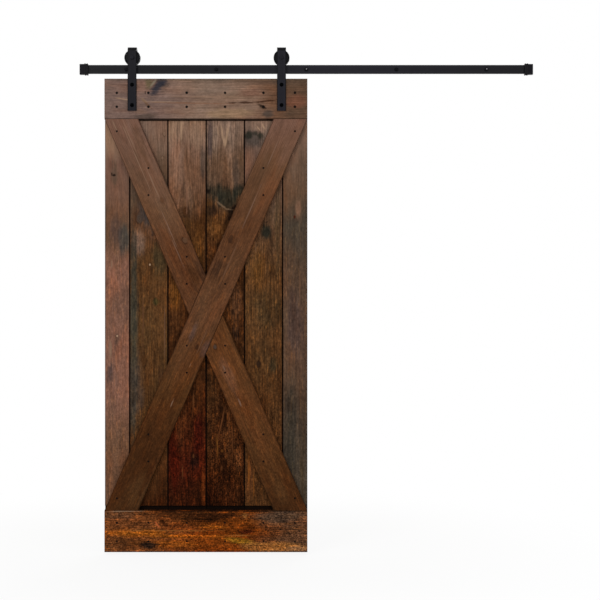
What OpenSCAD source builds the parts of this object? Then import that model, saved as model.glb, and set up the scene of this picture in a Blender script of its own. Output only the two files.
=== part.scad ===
// Sliding barn door on a flat track: a plank door with an X brace, hung on two
// bent-strap hangers whose grooved wheels run along a flat steel bar.
// Millimetres. X runs along the track, +Y points into the wall, +Z is up.
// The origin is on the wall face, behind the middle spacer of the track.

/* [Door] */
// Width of the door
door_w = 914.4; // [850:0.1:1070]
// Height of the door
door_h = 2133.6; // [1930:0.1:2440]
// Thickness of the vertical planks
plank_t = 20; // [18:0.5:25]
// Distance from seam to seam of the four planks in the middle
plank_face_w = 172.7; // [150:0.1:190]
// Thickness of the X brace, which lies on the planks
brace_t = 18; // [14:0.5:22]
// Width of the brace boards
brace_w = 139.7; // [110:0.1:165]
// Height of the top rail
top_rail_h = 181; // [165:0.5:220]
// Height of the bottom rail
bottom_rail_h = 187; // [160:0.5:225]
// Depth of the lap cut across the plank ends, where the rails lie
lap_depth = 9; // [6:0.5:10]
// Open slot between the planks' shoulders and the top rail
head_slot = 5; // [2:0.5:10]
// Open slot between the planks' shoulders and the bottom rail
foot_slot = 20; // [8:0.5:28]

/* [Board joints] */
// Leg of the chamfer on each side of a plank seam
seam_chamfer = 3.2; // [1.5:0.1:5]
// Gap between neighbouring planks
seam_gap = 0.6; // [0.3:0.1:1.5]
// Length of a plank's tongue
tongue_l = 7; // [5:0.5:9]
// Thickness of a plank's tongue
tongue_t = 5; // [4:0.5:6]
// Clearance round a tongue in its groove
tongue_fit = 0.3; // [0.1:0.05:0.6]
// Chamfer on the front edges of the rails and braces
board_ease = 2; // [1:0.1:3]
// Chamfer on the cut ends of the braces, smaller than the one along their edges
end_ease = 1; // [0.3:0.1:1.6]
// Joint gap where a brace meets a rail or the other brace
joint_gap = 0.6; // [0.3:0.1:1.5]

/* [Wood screws] */
// Diameter of the screw heads
screw_head_d = 9; // [7:0.1:10.5]
// Diameter of the screw shanks
screw_d = 4; // [3:0.1:4.5]
// Length of the wood screws
screw_l = 31; // [29:0.5:33]
// How far the heads are sunk below the face
screw_sink = 1.5; // [0.5:0.1:2.5]
// Clearance round a screw
screw_fit = 0.15; // [0.1:0.05:0.3]
// Upper row of screws in the top rail, from the top of the door
top_row_1 = 64; // [45:1:75]
// Lower row of screws in the top rail, from the top of the door
top_row_2 = 127; // [105:1:150]
// Upper row of screws in the bottom rail, from that rail's upper edge
foot_row_1 = 55; // [40:1:70]
// Lower row of screws in the bottom rail, from that rail's upper edge
foot_row_2 = 138; // [110:1:150]
// Height between the two screws where a brace crosses a plank
brace_screw_pitch = 122; // [90:1:145]
// Distance of the corner screws from the rails
corner_screw_z = 56; // [45:1:68]

/* [Track] */
// Length of the track bar
track_len = 2032; // [1900:0.1:2440]
// Height of the track bar
track_h = 40; // [34:0.5:48]
// Thickness of the track bar
track_t = 6; // [5:0.1:7]
// Chamfer along the edges of the track bar
track_ease = 1; // [0.5:0.1:1.5]
// Distance between the lag bolts
lag_pitch = 406.4; // [340:0.1:440]
// Length of the spacers between track and wall
spacer_len = 45; // [42:0.5:60]
// Outer diameter of the spacers
spacer_d = 25; // [22:0.5:28]

/* [Lag bolts] */
// Shank diameter of the lag bolts
lag_d = 8; // [7:0.1:9]
// Thread diameter of the lag bolts
lag_thread_d = 7.6; // [6:0.1:7.9]
// Plain shank that enters the wall
lag_plain = 8; // [5:0.5:15]
// Length of full thread in the wall
lag_thread = 44; // [35:0.5:60]
// Length of the pointed tip
lag_tip = 8; // [5:0.5:12]
// Width across flats of the lag bolt heads
lag_head_af = 13; // [12:0.5:16]
// Height of the lag bolt heads
lag_head_h = 5.3; // [4:0.1:6.5]
// Diameter of the lag washers
lag_washer_d = 18; // [16:0.5:22]
// Thickness of the lag washers
lag_washer_t = 1.6; // [1:0.1:2]
// Clearance round bolts in their holes
bolt_fit = 0.25; // [0.1:0.05:0.5]

/* [Hanger] */
// Width of the strap
strap_w = 40; // [34:0.5:46]
// Thickness of the strap
strap_t = 5; // [4:0.1:6]
// How far the strap reaches down the door
strap_drop = 145; // [130:0.5:160]
// Distance from the door's left edge to the middle of the left strap
left_inset = 125; // [90:0.1:170]
// Distance from the door's right edge to the middle of the right strap
right_inset = 116.4; // [90:0.1:170]
// Radial room between the top of the wheel and the bend of the strap
crown_gap = 6.8; // [6:0.1:12]
// Height from the lower bolt to the end of the strap
strap_bolt_end = 25; // [18:0.5:32]
// Distance between the two bolts of a strap
strap_bolt_pitch = 92; // [75:0.5:100]
// Gap between the track and the door
door_gap = 23.4; // [15:0.1:35]

/* [Wheel] */
// Outer diameter of the wheel
wheel_d = 72; // [64:0.5:84]
// Width of the wheel
wheel_w = 22; // [20:0.5:26]
// Depth of the groove
groove_depth = 4.5; // [3:0.1:6]
// Clearance on each side of the track at the bottom of the groove
groove_side = 0.8; // [0.4:0.1:1.5]
// Slope of the groove's sides, as extra half width at the rim
groove_flare = 1.3; // [0.5:0.1:2]
// Chamfer round the wheel's rims
rim_ease = 1.5; // [0.5:0.1:2]
// Width of the raised ring round the wheel's side
rim_ring = 5; // [3:0.5:8]
// Depth of the dish in the wheel's side
dish_depth = 2.5; // [1:0.1:3.5]
// Radius of the wheel's hub
hub_r = 15.5; // [15:0.1:18]
// Running gap between the wheel and the top of the track
run_gap = 0.3; // [0.1:0.05:0.5]
// Gap between the wheel's side and the strap
wheel_side_gap = 3; // [2.5:0.1:5]

/* [Bearing] */
// Outer diameter of the ball bearing
bearing_d = 26; // [24:0.5:28]
// Width of the ball bearing
bearing_w = 8; // [7:0.1:9]
// Thickness of the bearing rings
ring_t = 2; // [1.5:0.1:2.4]
// Running clearance inside the bearing
bearing_fit = 0.15; // [0.1:0.05:0.3]
// Diameter of the axle bolt
axle_d = 10; // [8:0.1:11]
// Outer diameter of the bushes on the axle
bush_d = 14; // [13:0.1:15]
// Gap between the bushes and the wheel
bush_gap = 2; // [1.5:0.1:3]
// Clearance between parts that are seated on each other
seat_fit = 0.05; // [0.03:0.01:0.1]

/* [Hanger bolts] */
// Width across flats of the axle bolt's head and nut
axle_af = 16; // [15:0.5:18]
// Height of the axle bolt's head
axle_head_h = 6.4; // [5:0.1:7]
// Height of the axle nut
axle_nut_h = 8; // [6:0.1:8.5]
// Shank diameter of the carriage bolts
carriage_d = 8; // [7:0.1:9]
// Diameter of their domed heads
carriage_head_d = 18; // [16:0.5:20]
// Height of the domed heads
carriage_head_h = 4.5; // [3.5:0.1:5.5]
// Width across flats of the carriage nuts
carriage_af = 13; // [12:0.5:14]
// Height of the carriage nuts
carriage_nut_h = 6.5; // [5:0.1:7]
// Thickness of the hanger washers
washer_t = 1.6; // [1:0.1:2]
// Diameter of the washers behind the door
back_washer_d = 24; // [18:0.5:28]
// Bolt end left standing proud of a nut
bolt_proud = 3; // [1:0.5:4]

/* [End stops] */
// Width of a stop's steel cap along the track
cap_w = 22; // [18:0.5:28]
// Thickness of the cap beyond the end of the track
cap_end = 6; // [3:0.5:9]
// Height of the cap above and below the track
cap_wall = 3.2; // [2:0.1:5]
// Depth of the cap in front of and behind the track
cap_deep = 8; // [6:0.5:9]
// Width of the rubber bumper along the track
bumper_w = 15; // [10:0.5:20]
// Height of the rubber above and below the track
bumper_wall = 5.5; // [4:0.1:8]
// Depth of the rubber in front of and behind the track
bumper_deep = 10; // [8:0.5:11]
// Chamfer along the rubber's edges
bumper_ease = 1.5; // [0.5:0.1:2]
// Width of the groove between the rubber's two ribs
rib_groove_w = 4.5; // [2:0.1:6]
// Depth of that groove
rib_groove_depth = 1.5; // [0.5:0.1:2]
// Clearance between the stops and the track
stop_fit = 0.2; // [0.1:0.05:0.4]
// Diameter of the set screws
set_d = 6; // [5:0.5:7]
// Height between the two set screws of a stop
set_pitch = 22; // [16:0.5:26]
// Distance from the left bumper to the left wheel's axle, where the door is parked
park_gap = 200.4; // [80:0.1:300]

/* [Hidden] */

BLACK_STEEL = [0.16, 0.155, 0.175];
BLACK_NYLON = [0.13, 0.128, 0.14];
BLACK_RUBBER = [0.09, 0.09, 0.1];
BRIGHT_STEEL = [0.62, 0.62, 0.64];
PLANK_WOOD = [0.33, 0.22, 0.14];
RAIL_WOOD = [0.42, 0.29, 0.2];
BRACE_WOOD = [0.38, 0.24, 0.16];

$fn = 64;
eps = 1;

lag_count = 5;
field_planks = 4;
plank_count = field_planks + 2;
ball_count = 9;

track_y = -(spacer_len + track_t / 2);
groove_r = wheel_d / 2 - groove_depth;
axle_z = track_h / 2 + run_gap + groove_r;
fork_gap = wheel_w + 2 * wheel_side_gap;
bend_z = wheel_d / 2 + crown_gap - fork_gap / 2;

door_t = brace_t + plank_t;
door_front_y = track_y - fork_gap / 2;
door_top_z = -track_h / 2 - door_gap;
rail_t = brace_t + lap_depth;
field_low = bottom_rail_h;
field_high = door_h - top_rail_h;
field_mid = (field_low + field_high) / 2;
edge_plank_w = (door_w - field_planks * plank_face_w) / 2;
tongue_mid = (rail_t + door_t) / 2;

stop_outer_x = track_len / 2 + cap_end;
stop_inner_x = stop_outer_x - cap_w - bumper_w;
left_wheel_x = -stop_inner_x + park_gap;
door_x = left_wheel_x - left_inset;
right_wheel_x = door_x + door_w - right_inset;

// Lean of the braces from the vertical. A brace's outer corners lie where the
// door's sides meet the rails, which gives D cos(a) - H sin(a) = brace_w / 2.
half_field = (field_high - field_low) / 2;
field_diagonal = norm([door_w / 2, half_field]);
brace_lean = acos(brace_w / (2 * field_diagonal)) - atan2(half_field, door_w / 2);

function plank_left(i) = i == 0 ? 0 : edge_plank_w + (i - 1) * plank_face_w;
function plank_right(i) = i == plank_count - 1 ? door_w : edge_plank_w + i * plank_face_w;
function plank_mid(i) = (plank_left(i) + plank_right(i)) / 2;
function lag_x(i) = (i - (lag_count - 1) / 2) * lag_pitch;
function brace_z(x, side) = field_mid + side * (x - door_w / 2) / tan(brace_lean);

// Screw places on the door's face, as [x, z] from its lower left corner
top_rail_places = [
  for (i = [0 : plank_count - 1], row = [top_row_1, top_row_2]) [plank_mid(i), door_h - row]
];
bottom_rail_places = [
  for (i = [0 : plank_count - 1], row = [foot_row_1, foot_row_2])
    [plank_mid(i), bottom_rail_h - row]
];
brace_crossings = [
  for (i = [1 : field_planks], side = [-1, 1], end = [-1, 1])
    [plank_mid(i), brace_z(plank_mid(i), side) + end * brace_screw_pitch / 2]
];
brace_corners = [
  for (i = [0, plank_count - 1], z = [field_low + corner_screw_z, field_high - corner_screw_z])
    [plank_mid(i), z]
];
brace_places = concat(brace_crossings, brace_corners);
strap_bolt_places = [
  for (x = [left_inset, door_w - right_inset], up = [0, strap_bolt_pitch])
    [x, door_h - strap_drop + strap_bolt_end + up]
];

// Turns the Z axis of a part to +Y
module along_y() rotate([-90, 0, 0]) children();

// Extrudes a profile drawn as [y, z] along +X
module along_x(length) rotate([90, 0, 90]) linear_extrude(length) children();

module at_door() translate([door_x, door_front_y, door_top_z - door_h]) children();

module at_axle(x) translate([x, track_y, axle_z]) children();

module at_places(places) for (p = places) translate([p[0], 0, p[1]]) along_y() children();

// Puts a part made for the left end of the track at the end that side names
module at_stop(side) translate([0, track_y, 0]) scale_side(side) children();

module scale_side(side) {
  if (side < 0) children();
  else mirror([1, 0, 0]) children();
}

// A hexagonal head or nut, with its upper corners rounded off by a cone
module hex_prism(across_flats, height) {
  corner_r = across_flats / 2 / cos(30);
  intersection() {
    cylinder(r = corner_r, h = height, $fn = 6);
    cylinder(r1 = corner_r + height, r2 = across_flats / 2 - 0.2, h = height + 0.1);
  }
}

module hex_nut(across_flats, height, bore_r) {
  difference() {
    hex_prism(across_flats, height);
    translate([0, 0, -eps]) cylinder(r = bore_r, h = height + 2 * eps);
  }
}

module washer(outer_d, bore_r, thick) {
  difference() {
    cylinder(d = outer_d, h = thick);
    translate([0, 0, -eps]) cylinder(r = bore_r, h = thick + 2 * eps);
  }
}

// A slab w wide, with its front edges eased at its top and foot
module eased_ends(w, t, h, e) {
  along_x(w) polygon([[0, e], [e, 0], [t, 0], [t, h], [e, h], [0, h - e]]);
}

// A board with the four edges of its front face eased
module eased_board(w, t, h) {
  e = board_ease;
  intersection() {
    linear_extrude(h) polygon([[e, 0], [w - e, 0], [w, e], [w, t], [0, t], [0, e]]);
    eased_ends(w, t, h, e);
  }
}

// A bar along X, with all its long edges eased
module eased_bar(length, t, h, e) {
  along_x(length) translate([-t / 2, -h / 2])
    polygon([[e, 0], [t - e, 0], [t, e], [t, h - e], [t - e, h], [e, h], [0, h - e], [0, e]]);
}

// The track

module track_bar() {
  color(BLACK_STEEL) difference() {
    translate([-track_len / 2, track_y, 0]) eased_bar(track_len, track_t, track_h, track_ease);
    for (i = [0 : lag_count - 1])
      translate([lag_x(i), track_y - track_t / 2 - eps, 0]) along_y()
        cylinder(r = lag_d / 2 + bolt_fit, h = track_t + 2 * eps);
  }
}

module track_spacer(i) {
  bore_r = lag_d / 2 + bolt_fit;
  outer_r = spacer_d / 2;
  color(BLACK_STEEL) translate([lag_x(i), -spacer_len, 0]) along_y()
    rotate_extrude() polygon([
      [bore_r, 0], [outer_r - track_ease, 0], [outer_r, track_ease],
      [outer_r, spacer_len - track_ease], [outer_r - track_ease, spacer_len],
      [bore_r, spacer_len],
    ]);
}

// Hexagon head, plain shank through track and spacer, then thread and tip
module lag_bolt() {
  shank_l = track_t + spacer_len + lag_washer_t + lag_plain;
  along_y() {
    mirror([0, 0, 1]) hex_prism(lag_head_af, lag_head_h);
    cylinder(d = lag_d, h = shank_l);
    translate([0, 0, shank_l]) cylinder(d = lag_thread_d, h = lag_thread);
    translate([0, 0, shank_l + lag_thread]) cylinder(d1 = lag_thread_d, d2 = 1, h = lag_tip);
  }
}

module lag_bolts() {
  head_y = -(spacer_len + track_t + lag_washer_t);
  color(BLACK_STEEL) for (i = [0 : lag_count - 1]) translate([lag_x(i), head_y, 0]) lag_bolt();
}

module lag_washers() {
  washer_y = -(spacer_len + track_t + lag_washer_t);
  color(BLACK_STEEL) for (i = [0 : lag_count - 1]) translate([lag_x(i), washer_y, 0]) along_y()
    washer(lag_washer_d, lag_d / 2 + bolt_fit, lag_washer_t);
}

// The end stops. Each is a steel cap over the end of the track, held by two set
// screws from behind, with a rubber bumper on the track in front of it.

// Space that the track takes inside a stop
module track_slot(length) {
  along_x(length) square([track_t + 2 * stop_fit, track_h + 2 * stop_fit], center = true);
}

module stop_cap(side) {
  h = track_h + 2 * cap_wall;
  t = track_t + 2 * cap_deep;
  color(BLACK_STEEL) at_stop(side) difference() {
    translate([-stop_outer_x, 0, 0]) eased_bar(cap_w, t, h, track_ease);
    translate([-track_len / 2 - stop_fit, 0, 0]) track_slot(cap_w);
    for (z = [-set_pitch / 2, set_pitch / 2]) translate([set_screw_x(), 0, z]) along_y()
      cylinder(r = set_d / 2 + seat_fit, h = t);
  }
}

function set_screw_x() = -stop_outer_x + (cap_w + cap_end) / 2;

module stop_set_screws(side) {
  length = cap_deep;
  socket_d = set_d / 2;
  color(BLACK_STEEL) at_stop(side)
    for (z = [-set_pitch / 2, set_pitch / 2])
      translate([set_screw_x(), track_t / 2, z]) along_y() difference() {
        cylinder(d = set_d, h = length);
        translate([0, 0, length / 2]) cylinder(d = socket_d, h = length, $fn = 6);
      }
}

module stop_bumper(side) {
  h = track_h + 2 * bumper_wall;
  t = track_t + 2 * bumper_deep;
  color(BLACK_RUBBER) at_stop(side) translate([-stop_outer_x + cap_w, 0, 0]) difference() {
    intersection() {
      eased_bar(bumper_w, t, h, bumper_ease);
      bumper_nose(t, h);
    }
    translate([(bumper_w - rib_groove_w) / 2, 0, 0]) bumper_groove(t, h);
    translate([-eps, 0, 0]) track_slot(bumper_w + 2 * eps);
  }
}

// Groove round the bumper, which leaves a rib at each end
module bumper_groove(t, h) {
  inner_t = t - 2 * rib_groove_depth;
  inner_h = h - 2 * rib_groove_depth;
  difference() {
    along_x(rib_groove_w) square([t + 2 * eps, h + 2 * eps], center = true);
    translate([-eps, 0, 0])
      eased_bar(rib_groove_w + 2 * eps, inner_t, inner_h, bumper_ease);
  }
}

// Eases the bumper's striking end
module bumper_nose(t, h) {
  e = bumper_ease;
  translate([0, t / 2, 0]) rotate([90, 0, 0]) linear_extrude(t) polygon([
    [0, -h / 2], [bumper_w - e, -h / 2], [bumper_w, -h / 2 + e],
    [bumper_w, h / 2 - e], [bumper_w - e, h / 2], [0, h / 2],
  ]);
}

// The door

// Plan of one plank as [x, y]: a groove on its left, a tongue on its right, and
// chamfers that make a V at each seam. The outer planks have a plain outer edge.
function plank_left_edge(i) =
  let (x = plank_left(i) + seam_gap / 2, c = seam_chamfer, half = tongue_t / 2 + tongue_fit,
       deep = x + seam_gap + tongue_l + tongue_fit)
  i == 0
  ? [[1, door_t], [0, door_t - 1], [0, brace_t + 1], [1, brace_t]]
  : [[x + c / 2, door_t], [x, door_t - c / 2], [x, tongue_mid + half], [deep, tongue_mid + half],
     [deep, tongue_mid - half], [x, tongue_mid - half], [x, brace_t + c], [x + c, brace_t]];

function plank_right_edge(i) =
  let (x = plank_right(i) - seam_gap / 2, c = seam_chamfer, half = tongue_t / 2,
       tip = x + tongue_l)
  i == plank_count - 1
  ? [[door_w - 1, brace_t], [door_w, brace_t + 1], [door_w, door_t - 1], [door_w - 1, door_t]]
  : [[x - c, brace_t], [x, brace_t + c], [x, tongue_mid - half], [tip, tongue_mid - half],
     [tip, tongue_mid + half], [x, tongue_mid + half], [x, door_t - c / 2],
     [x - c / 2, door_t]];

// Laps across both ends of the planks, with their shoulders short of the rails
module plank_laps() {
  for (z = [-eps, field_high - head_slot])
    translate([-eps, brace_t - eps, z]) cube([
      door_w + 2 * eps, lap_depth + eps,
      z < 0 ? field_low + foot_slot + eps : top_rail_h + head_slot + eps,
    ]);
}

// Clearance holes for one wood screw, from the front face
module screw_hole() {
  head_r = screw_head_d / 2 + screw_fit;
  cone_h = (screw_head_d - screw_d) / 2;
  translate([0, 0, -eps]) cylinder(r = head_r, h = eps + screw_sink);
  translate([0, 0, screw_sink]) cylinder(r1 = head_r, r2 = screw_d / 2 + screw_fit, h = cone_h);
  cylinder(r = screw_d / 2 + screw_fit, h = screw_sink + screw_l + screw_fit);
}

module strap_bolt_holes() {
  at_places(strap_bolt_places) translate([0, 0, -eps])
    cylinder(r = carriage_d / 2 + bolt_fit, h = door_t + 2 * eps);
}

// Only the places that lie on the plank
module plank(i) {
  all_places = concat(top_rail_places, bottom_rail_places, brace_places);
  places = [for (p = all_places) if (p[0] > plank_left(i) && p[0] < plank_right(i)) p];
  color(PLANK_WOOD) at_door() difference() {
    linear_extrude(door_h) polygon(concat(plank_left_edge(i), plank_right_edge(i)));
    plank_laps();
    at_places(places) screw_hole();
    strap_bolt_holes();
  }
}

module top_rail() {
  color(RAIL_WOOD) at_door() difference() {
    translate([0, 0, field_high]) eased_board(door_w, rail_t, top_rail_h);
    at_places(top_rail_places) screw_hole();
    strap_bolt_holes();
  }
}

module bottom_rail() {
  color(RAIL_WOOD) at_door() difference() {
    eased_board(door_w, rail_t, bottom_rail_h);
    at_places(bottom_rail_places) screw_hole();
  }
}

// Stands a shape on the middle of the door's field, leaning to the right at its
// top where side is 1
module leaning(side) {
  length = 3 * field_diagonal;
  translate([door_w / 2, 0, field_mid]) rotate([0, side * brace_lean, 0])
    translate([0, 0, -length / 2]) linear_extrude(length) children();
}

// Space between the rails that the braces fill, with eased front edges
module brace_field() {
  translate([-brace_w, 0, field_low + joint_gap])
    eased_ends(door_w + 2 * brace_w, brace_t, field_high - field_low - 2 * joint_gap, end_ease);
}

module brace_stick(side) {
  half = brace_w / 2;
  e = board_ease;
  intersection() {
    leaning(side) polygon([
      [-half + e, 0], [half - e, 0], [half, e], [half, brace_t], [-half, brace_t], [-half, e],
    ]);
    brace_field();
  }
}

// What the long brace takes out of the other two, with eased front edges
module long_brace_cut() {
  half = brace_w / 2 + joint_gap;
  e = end_ease;
  leaning(1) polygon([
    [-half - e, -eps], [half + e, -eps], [half + e, 0], [half, e], [half, brace_t + eps],
    [-half, brace_t + eps], [-half, e], [-half - e, 0],
  ]);
}

module brace_long() {
  color(BRACE_WOOD) at_door() difference() {
    brace_stick(1);
    at_places(brace_places) screw_hole();
  }
}

// The half of the other brace above (side 1) or below (side -1) the long one
module brace_half(side) {
  color(BRACE_WOOD) at_door() difference() {
    intersection() {
      brace_stick(-1);
      translate([0, 0, side > 0 ? field_mid : field_mid - half_field])
        cube([door_w, brace_t, half_field]);
    }
    long_brace_cut();
    at_places(brace_places) screw_hole();
  }
}

// Countersunk wood screw, with its head at the depth of the sink
module wood_screw() {
  cone_h = (screw_head_d - screw_d) / 2;
  tip = screw_d;
  translate([0, 0, screw_sink]) rotate_extrude() polygon([
    [0, 0], [screw_head_d / 2, 0], [screw_d / 2, cone_h],
    [screw_d / 2, screw_l - tip], [0, screw_l],
  ]);
}

module wood_screws(places) {
  color(BRIGHT_STEEL) at_door() at_places(places) wood_screw();
}

// The hangers

// Side view of the strap as [y, z] from the axle: front leg, bend over the
// wheel and the upper part of the back leg
module strap_profile() {
  inner = fork_gap / 2;
  outer = inner + strap_t;
  foot = door_top_z - strap_drop - axle_z;
  translate([-outer, foot]) square([strap_t, bend_z - foot]);
  translate([inner, 0]) square([strap_t, bend_z]);
  translate([0, bend_z]) difference() {
    circle(r = outer);
    circle(r = inner);
    translate([-outer - eps, -2 * outer]) square([2 * (outer + eps), 2 * outer]);
  }
}

// Square holes through the front leg for the necks of the carriage bolts
module neck_holes(x) {
  side = carriage_d + 2 * bolt_fit;
  for (p = strap_bolt_places)
    translate([door_x + p[0], door_front_y - strap_t / 2, door_top_z - door_h + p[1]])
      cube([side, strap_t + 2 * eps, side], center = true);
}

module strap(x) {
  color(BLACK_STEEL) difference() {
    at_axle(x) {
      translate([-strap_w / 2, 0, 0]) along_x(strap_w) strap_profile();
      translate([0, fork_gap / 2, 0]) along_y() cylinder(d = strap_w, h = strap_t);
    }
    at_axle(x) translate([0, -fork_gap, 0]) along_y()
      cylinder(r = axle_d / 2 + bolt_fit, h = 2 * fork_gap);
    neck_holes(x);
  }
}

module axle_bolt(x) {
  half = fork_gap / 2 + strap_t;
  color(BLACK_STEEL) at_axle(x) translate([0, -half, 0]) along_y() {
    mirror([0, 0, 1]) hex_prism(axle_af, axle_head_h);
    cylinder(d = axle_d, h = 2 * half + washer_t + axle_nut_h + bolt_proud);
  }
}

module axle_washer(x) {
  color(BLACK_STEEL) at_axle(x) translate([0, fork_gap / 2 + strap_t, 0]) along_y()
    washer(2 * axle_d, axle_d / 2 + bolt_fit, washer_t);
}

module axle_nut(x) {
  color(BLACK_STEEL) at_axle(x) translate([0, fork_gap / 2 + strap_t + washer_t, 0]) along_y()
    hex_nut(axle_af, axle_nut_h, axle_d / 2 + seat_fit);
}

// Two bushes, from the bearing's inner ring out to the strap on each side
module axle_bushes(x) {
  length = (fork_gap - bearing_w) / 2;
  color(BRIGHT_STEEL) at_axle(x) for (y = [-fork_gap / 2, bearing_w / 2])
    translate([0, y, 0]) along_y() washer(bush_d, axle_d / 2 + seat_fit, length);
}

// Radius at which the balls run, and their own radius
ball_track_r = (axle_d / 2 + bearing_d / 2) / 2;
ball_r = (bearing_d - axle_d) / 4 - ring_t + ring_t / 2;

// The groove that the balls run in, cut out of both rings
module ball_groove() {
  rotate_extrude() translate([ball_track_r, 0]) circle(r = ball_r + bearing_fit);
}

module bearing_ring(inner_r, outer_r) {
  rotate_extrude() polygon([
    [inner_r, -bearing_w / 2], [outer_r, -bearing_w / 2],
    [outer_r, bearing_w / 2], [inner_r, bearing_w / 2],
  ]);
}

module bearing_inner(x) {
  color(BRIGHT_STEEL) at_axle(x) along_y() difference() {
    bearing_ring(axle_d / 2 + seat_fit, axle_d / 2 + ring_t);
    ball_groove();
  }
}

// Outer ring with a thin shield at each side
module bearing_outer(x) {
  shield_t = 0.5;
  shield_r = axle_d / 2 + ring_t + 2 * bearing_fit;
  color(BRIGHT_STEEL) at_axle(x) along_y() {
    difference() {
      bearing_ring(bearing_d / 2 - ring_t, bearing_d / 2 - seat_fit);
      ball_groove();
    }
    for (z = [-bearing_w / 2 + shield_t / 2, bearing_w / 2 - 3 * shield_t / 2])
      translate([0, 0, z]) washer(bearing_d - 1.5 * ring_t, shield_r, shield_t);
  }
}

// Nine balls joined by their cage
module bearing_balls(x) {
  cage_r = 0.6;
  color(BRIGHT_STEEL) at_axle(x) along_y() {
    for (i = [0 : ball_count - 1]) rotate([0, 0, i * 360 / ball_count])
      translate([ball_track_r, 0, 0]) sphere(r = ball_r);
    rotate_extrude() translate([ball_track_r, 0]) circle(r = cage_r, $fn = 24);
  }
}

// Half section of the wheel as [radius, y], from the bearing seat out to the groove
function wheel_half_section() =
  let (r = wheel_d / 2, half = wheel_w / 2, bore = bush_d / 2 + bush_gap,
       groove_half = track_t / 2 + groove_side, hub_face = half - 1)
  [
    [bearing_d / 2, bearing_w / 2], [bore, bearing_w / 2], [bore, hub_face],
    [hub_r, hub_face], [hub_r + 1, half - dish_depth],
    [r - rim_ring - dish_depth, half - dish_depth], [r - rim_ring, half],
    [r - rim_ease, half], [r, half - rim_ease],
    [r, groove_half + groove_flare], [groove_r, groove_half],
  ];

module wheel(x) {
  half = wheel_half_section();
  count = len(half);
  mirrored = [for (i = [count - 1 : -1 : 0]) [half[i][0], -half[i][1]]];
  color(BLACK_NYLON) at_axle(x) along_y() rotate_extrude($fn = 96) polygon(concat(half, mirrored));
}

// Domed head, square neck and round shank, from the strap to behind the door
module carriage_bolt() {
  head_r = carriage_head_d / 2;
  dome_r = (head_r * head_r + carriage_head_h * carriage_head_h) / (2 * carriage_head_h);
  neck = strap_t - eps;
  intersection() {
    translate([0, 0, dome_r - carriage_head_h]) sphere(r = dome_r);
    mirror([0, 0, 1]) cylinder(r = head_r, h = carriage_head_h + eps);
  }
  translate([-carriage_d / 2, -carriage_d / 2, 0]) cube([carriage_d, carriage_d, neck]);
  cylinder(d = carriage_d, h = strap_t + door_t + washer_t + carriage_nut_h + bolt_proud);
}

// Puts fittings on the two bolts of the left (0) or right (1) strap, at a depth
// from the door's front face
module at_strap_bolts(side, depth) {
  places = [strap_bolt_places[2 * side], strap_bolt_places[2 * side + 1]];
  at_door() translate([0, depth, 0]) at_places(places) children();
}

module strap_bolts(side) {
  color(BLACK_STEEL) at_strap_bolts(side, -strap_t) carriage_bolt();
}

module strap_washers(side) {
  color(BLACK_STEEL) at_strap_bolts(side, door_t)
    washer(back_washer_d, carriage_d / 2 + bolt_fit, washer_t);
}

module strap_nuts(side) {
  color(BLACK_STEEL) at_strap_bolts(side, door_t + washer_t)
    hex_nut(carriage_af, carriage_nut_h, carriage_d / 2 + seat_fit);
}

track_bar();
track_spacer(0);  // track_spacer_1
track_spacer(1);  // track_spacer_2
track_spacer(2);  // track_spacer_3
track_spacer(3);  // track_spacer_4
track_spacer(4);  // track_spacer_5
lag_bolts();
lag_washers();
stop_cap(-1);  // stop_cap_left
stop_bumper(-1);  // stop_bumper_left
stop_set_screws(-1);  // stop_set_screws_left
stop_cap(1);  // stop_cap_right
stop_bumper(1);  // stop_bumper_right
stop_set_screws(1);  // stop_set_screws_right
plank(0);  // plank_1
plank(1);  // plank_2
plank(2);  // plank_3
plank(3);  // plank_4
plank(4);  // plank_5
plank(5);  // plank_6
top_rail();
bottom_rail();
brace_long();
brace_half(1);  // brace_upper
brace_half(-1);  // brace_lower
wood_screws(top_rail_places);  // top_rail_screws
wood_screws(bottom_rail_places);  // bottom_rail_screws
wood_screws(brace_places);  // brace_screws
strap(left_wheel_x);  // strap_left
axle_bolt(left_wheel_x);  // axle_bolt_left
axle_bushes(left_wheel_x);  // axle_bushes_left
axle_washer(left_wheel_x);  // axle_washer_left
axle_nut(left_wheel_x);  // axle_nut_left
bearing_inner(left_wheel_x);  // bearing_inner_left
strap_bolts(0);  // strap_bolts_left
strap_washers(0);  // strap_washers_left
strap_nuts(0);  // strap_nuts_left
wheel(left_wheel_x);  // wheel_left
bearing_outer(left_wheel_x);  // bearing_outer_left
bearing_balls(left_wheel_x);  // bearing_balls_left
strap(right_wheel_x);  // strap_right
axle_bolt(right_wheel_x);  // axle_bolt_right
axle_bushes(right_wheel_x);  // axle_bushes_right
axle_washer(right_wheel_x);  // axle_washer_right
axle_nut(right_wheel_x);  // axle_nut_right
bearing_inner(right_wheel_x);  // bearing_inner_right
strap_bolts(1);  // strap_bolts_right
strap_washers(1);  // strap_washers_right
strap_nuts(1);  // strap_nuts_right
wheel(right_wheel_x);  // wheel_right
bearing_outer(right_wheel_x);  // bearing_outer_right
bearing_balls(right_wheel_x);  // bearing_balls_right
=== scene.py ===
"""Dresses the sliding barn door: stained plank wood, black track hardware and threads."""

import math
from typing import NamedTuple

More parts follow.
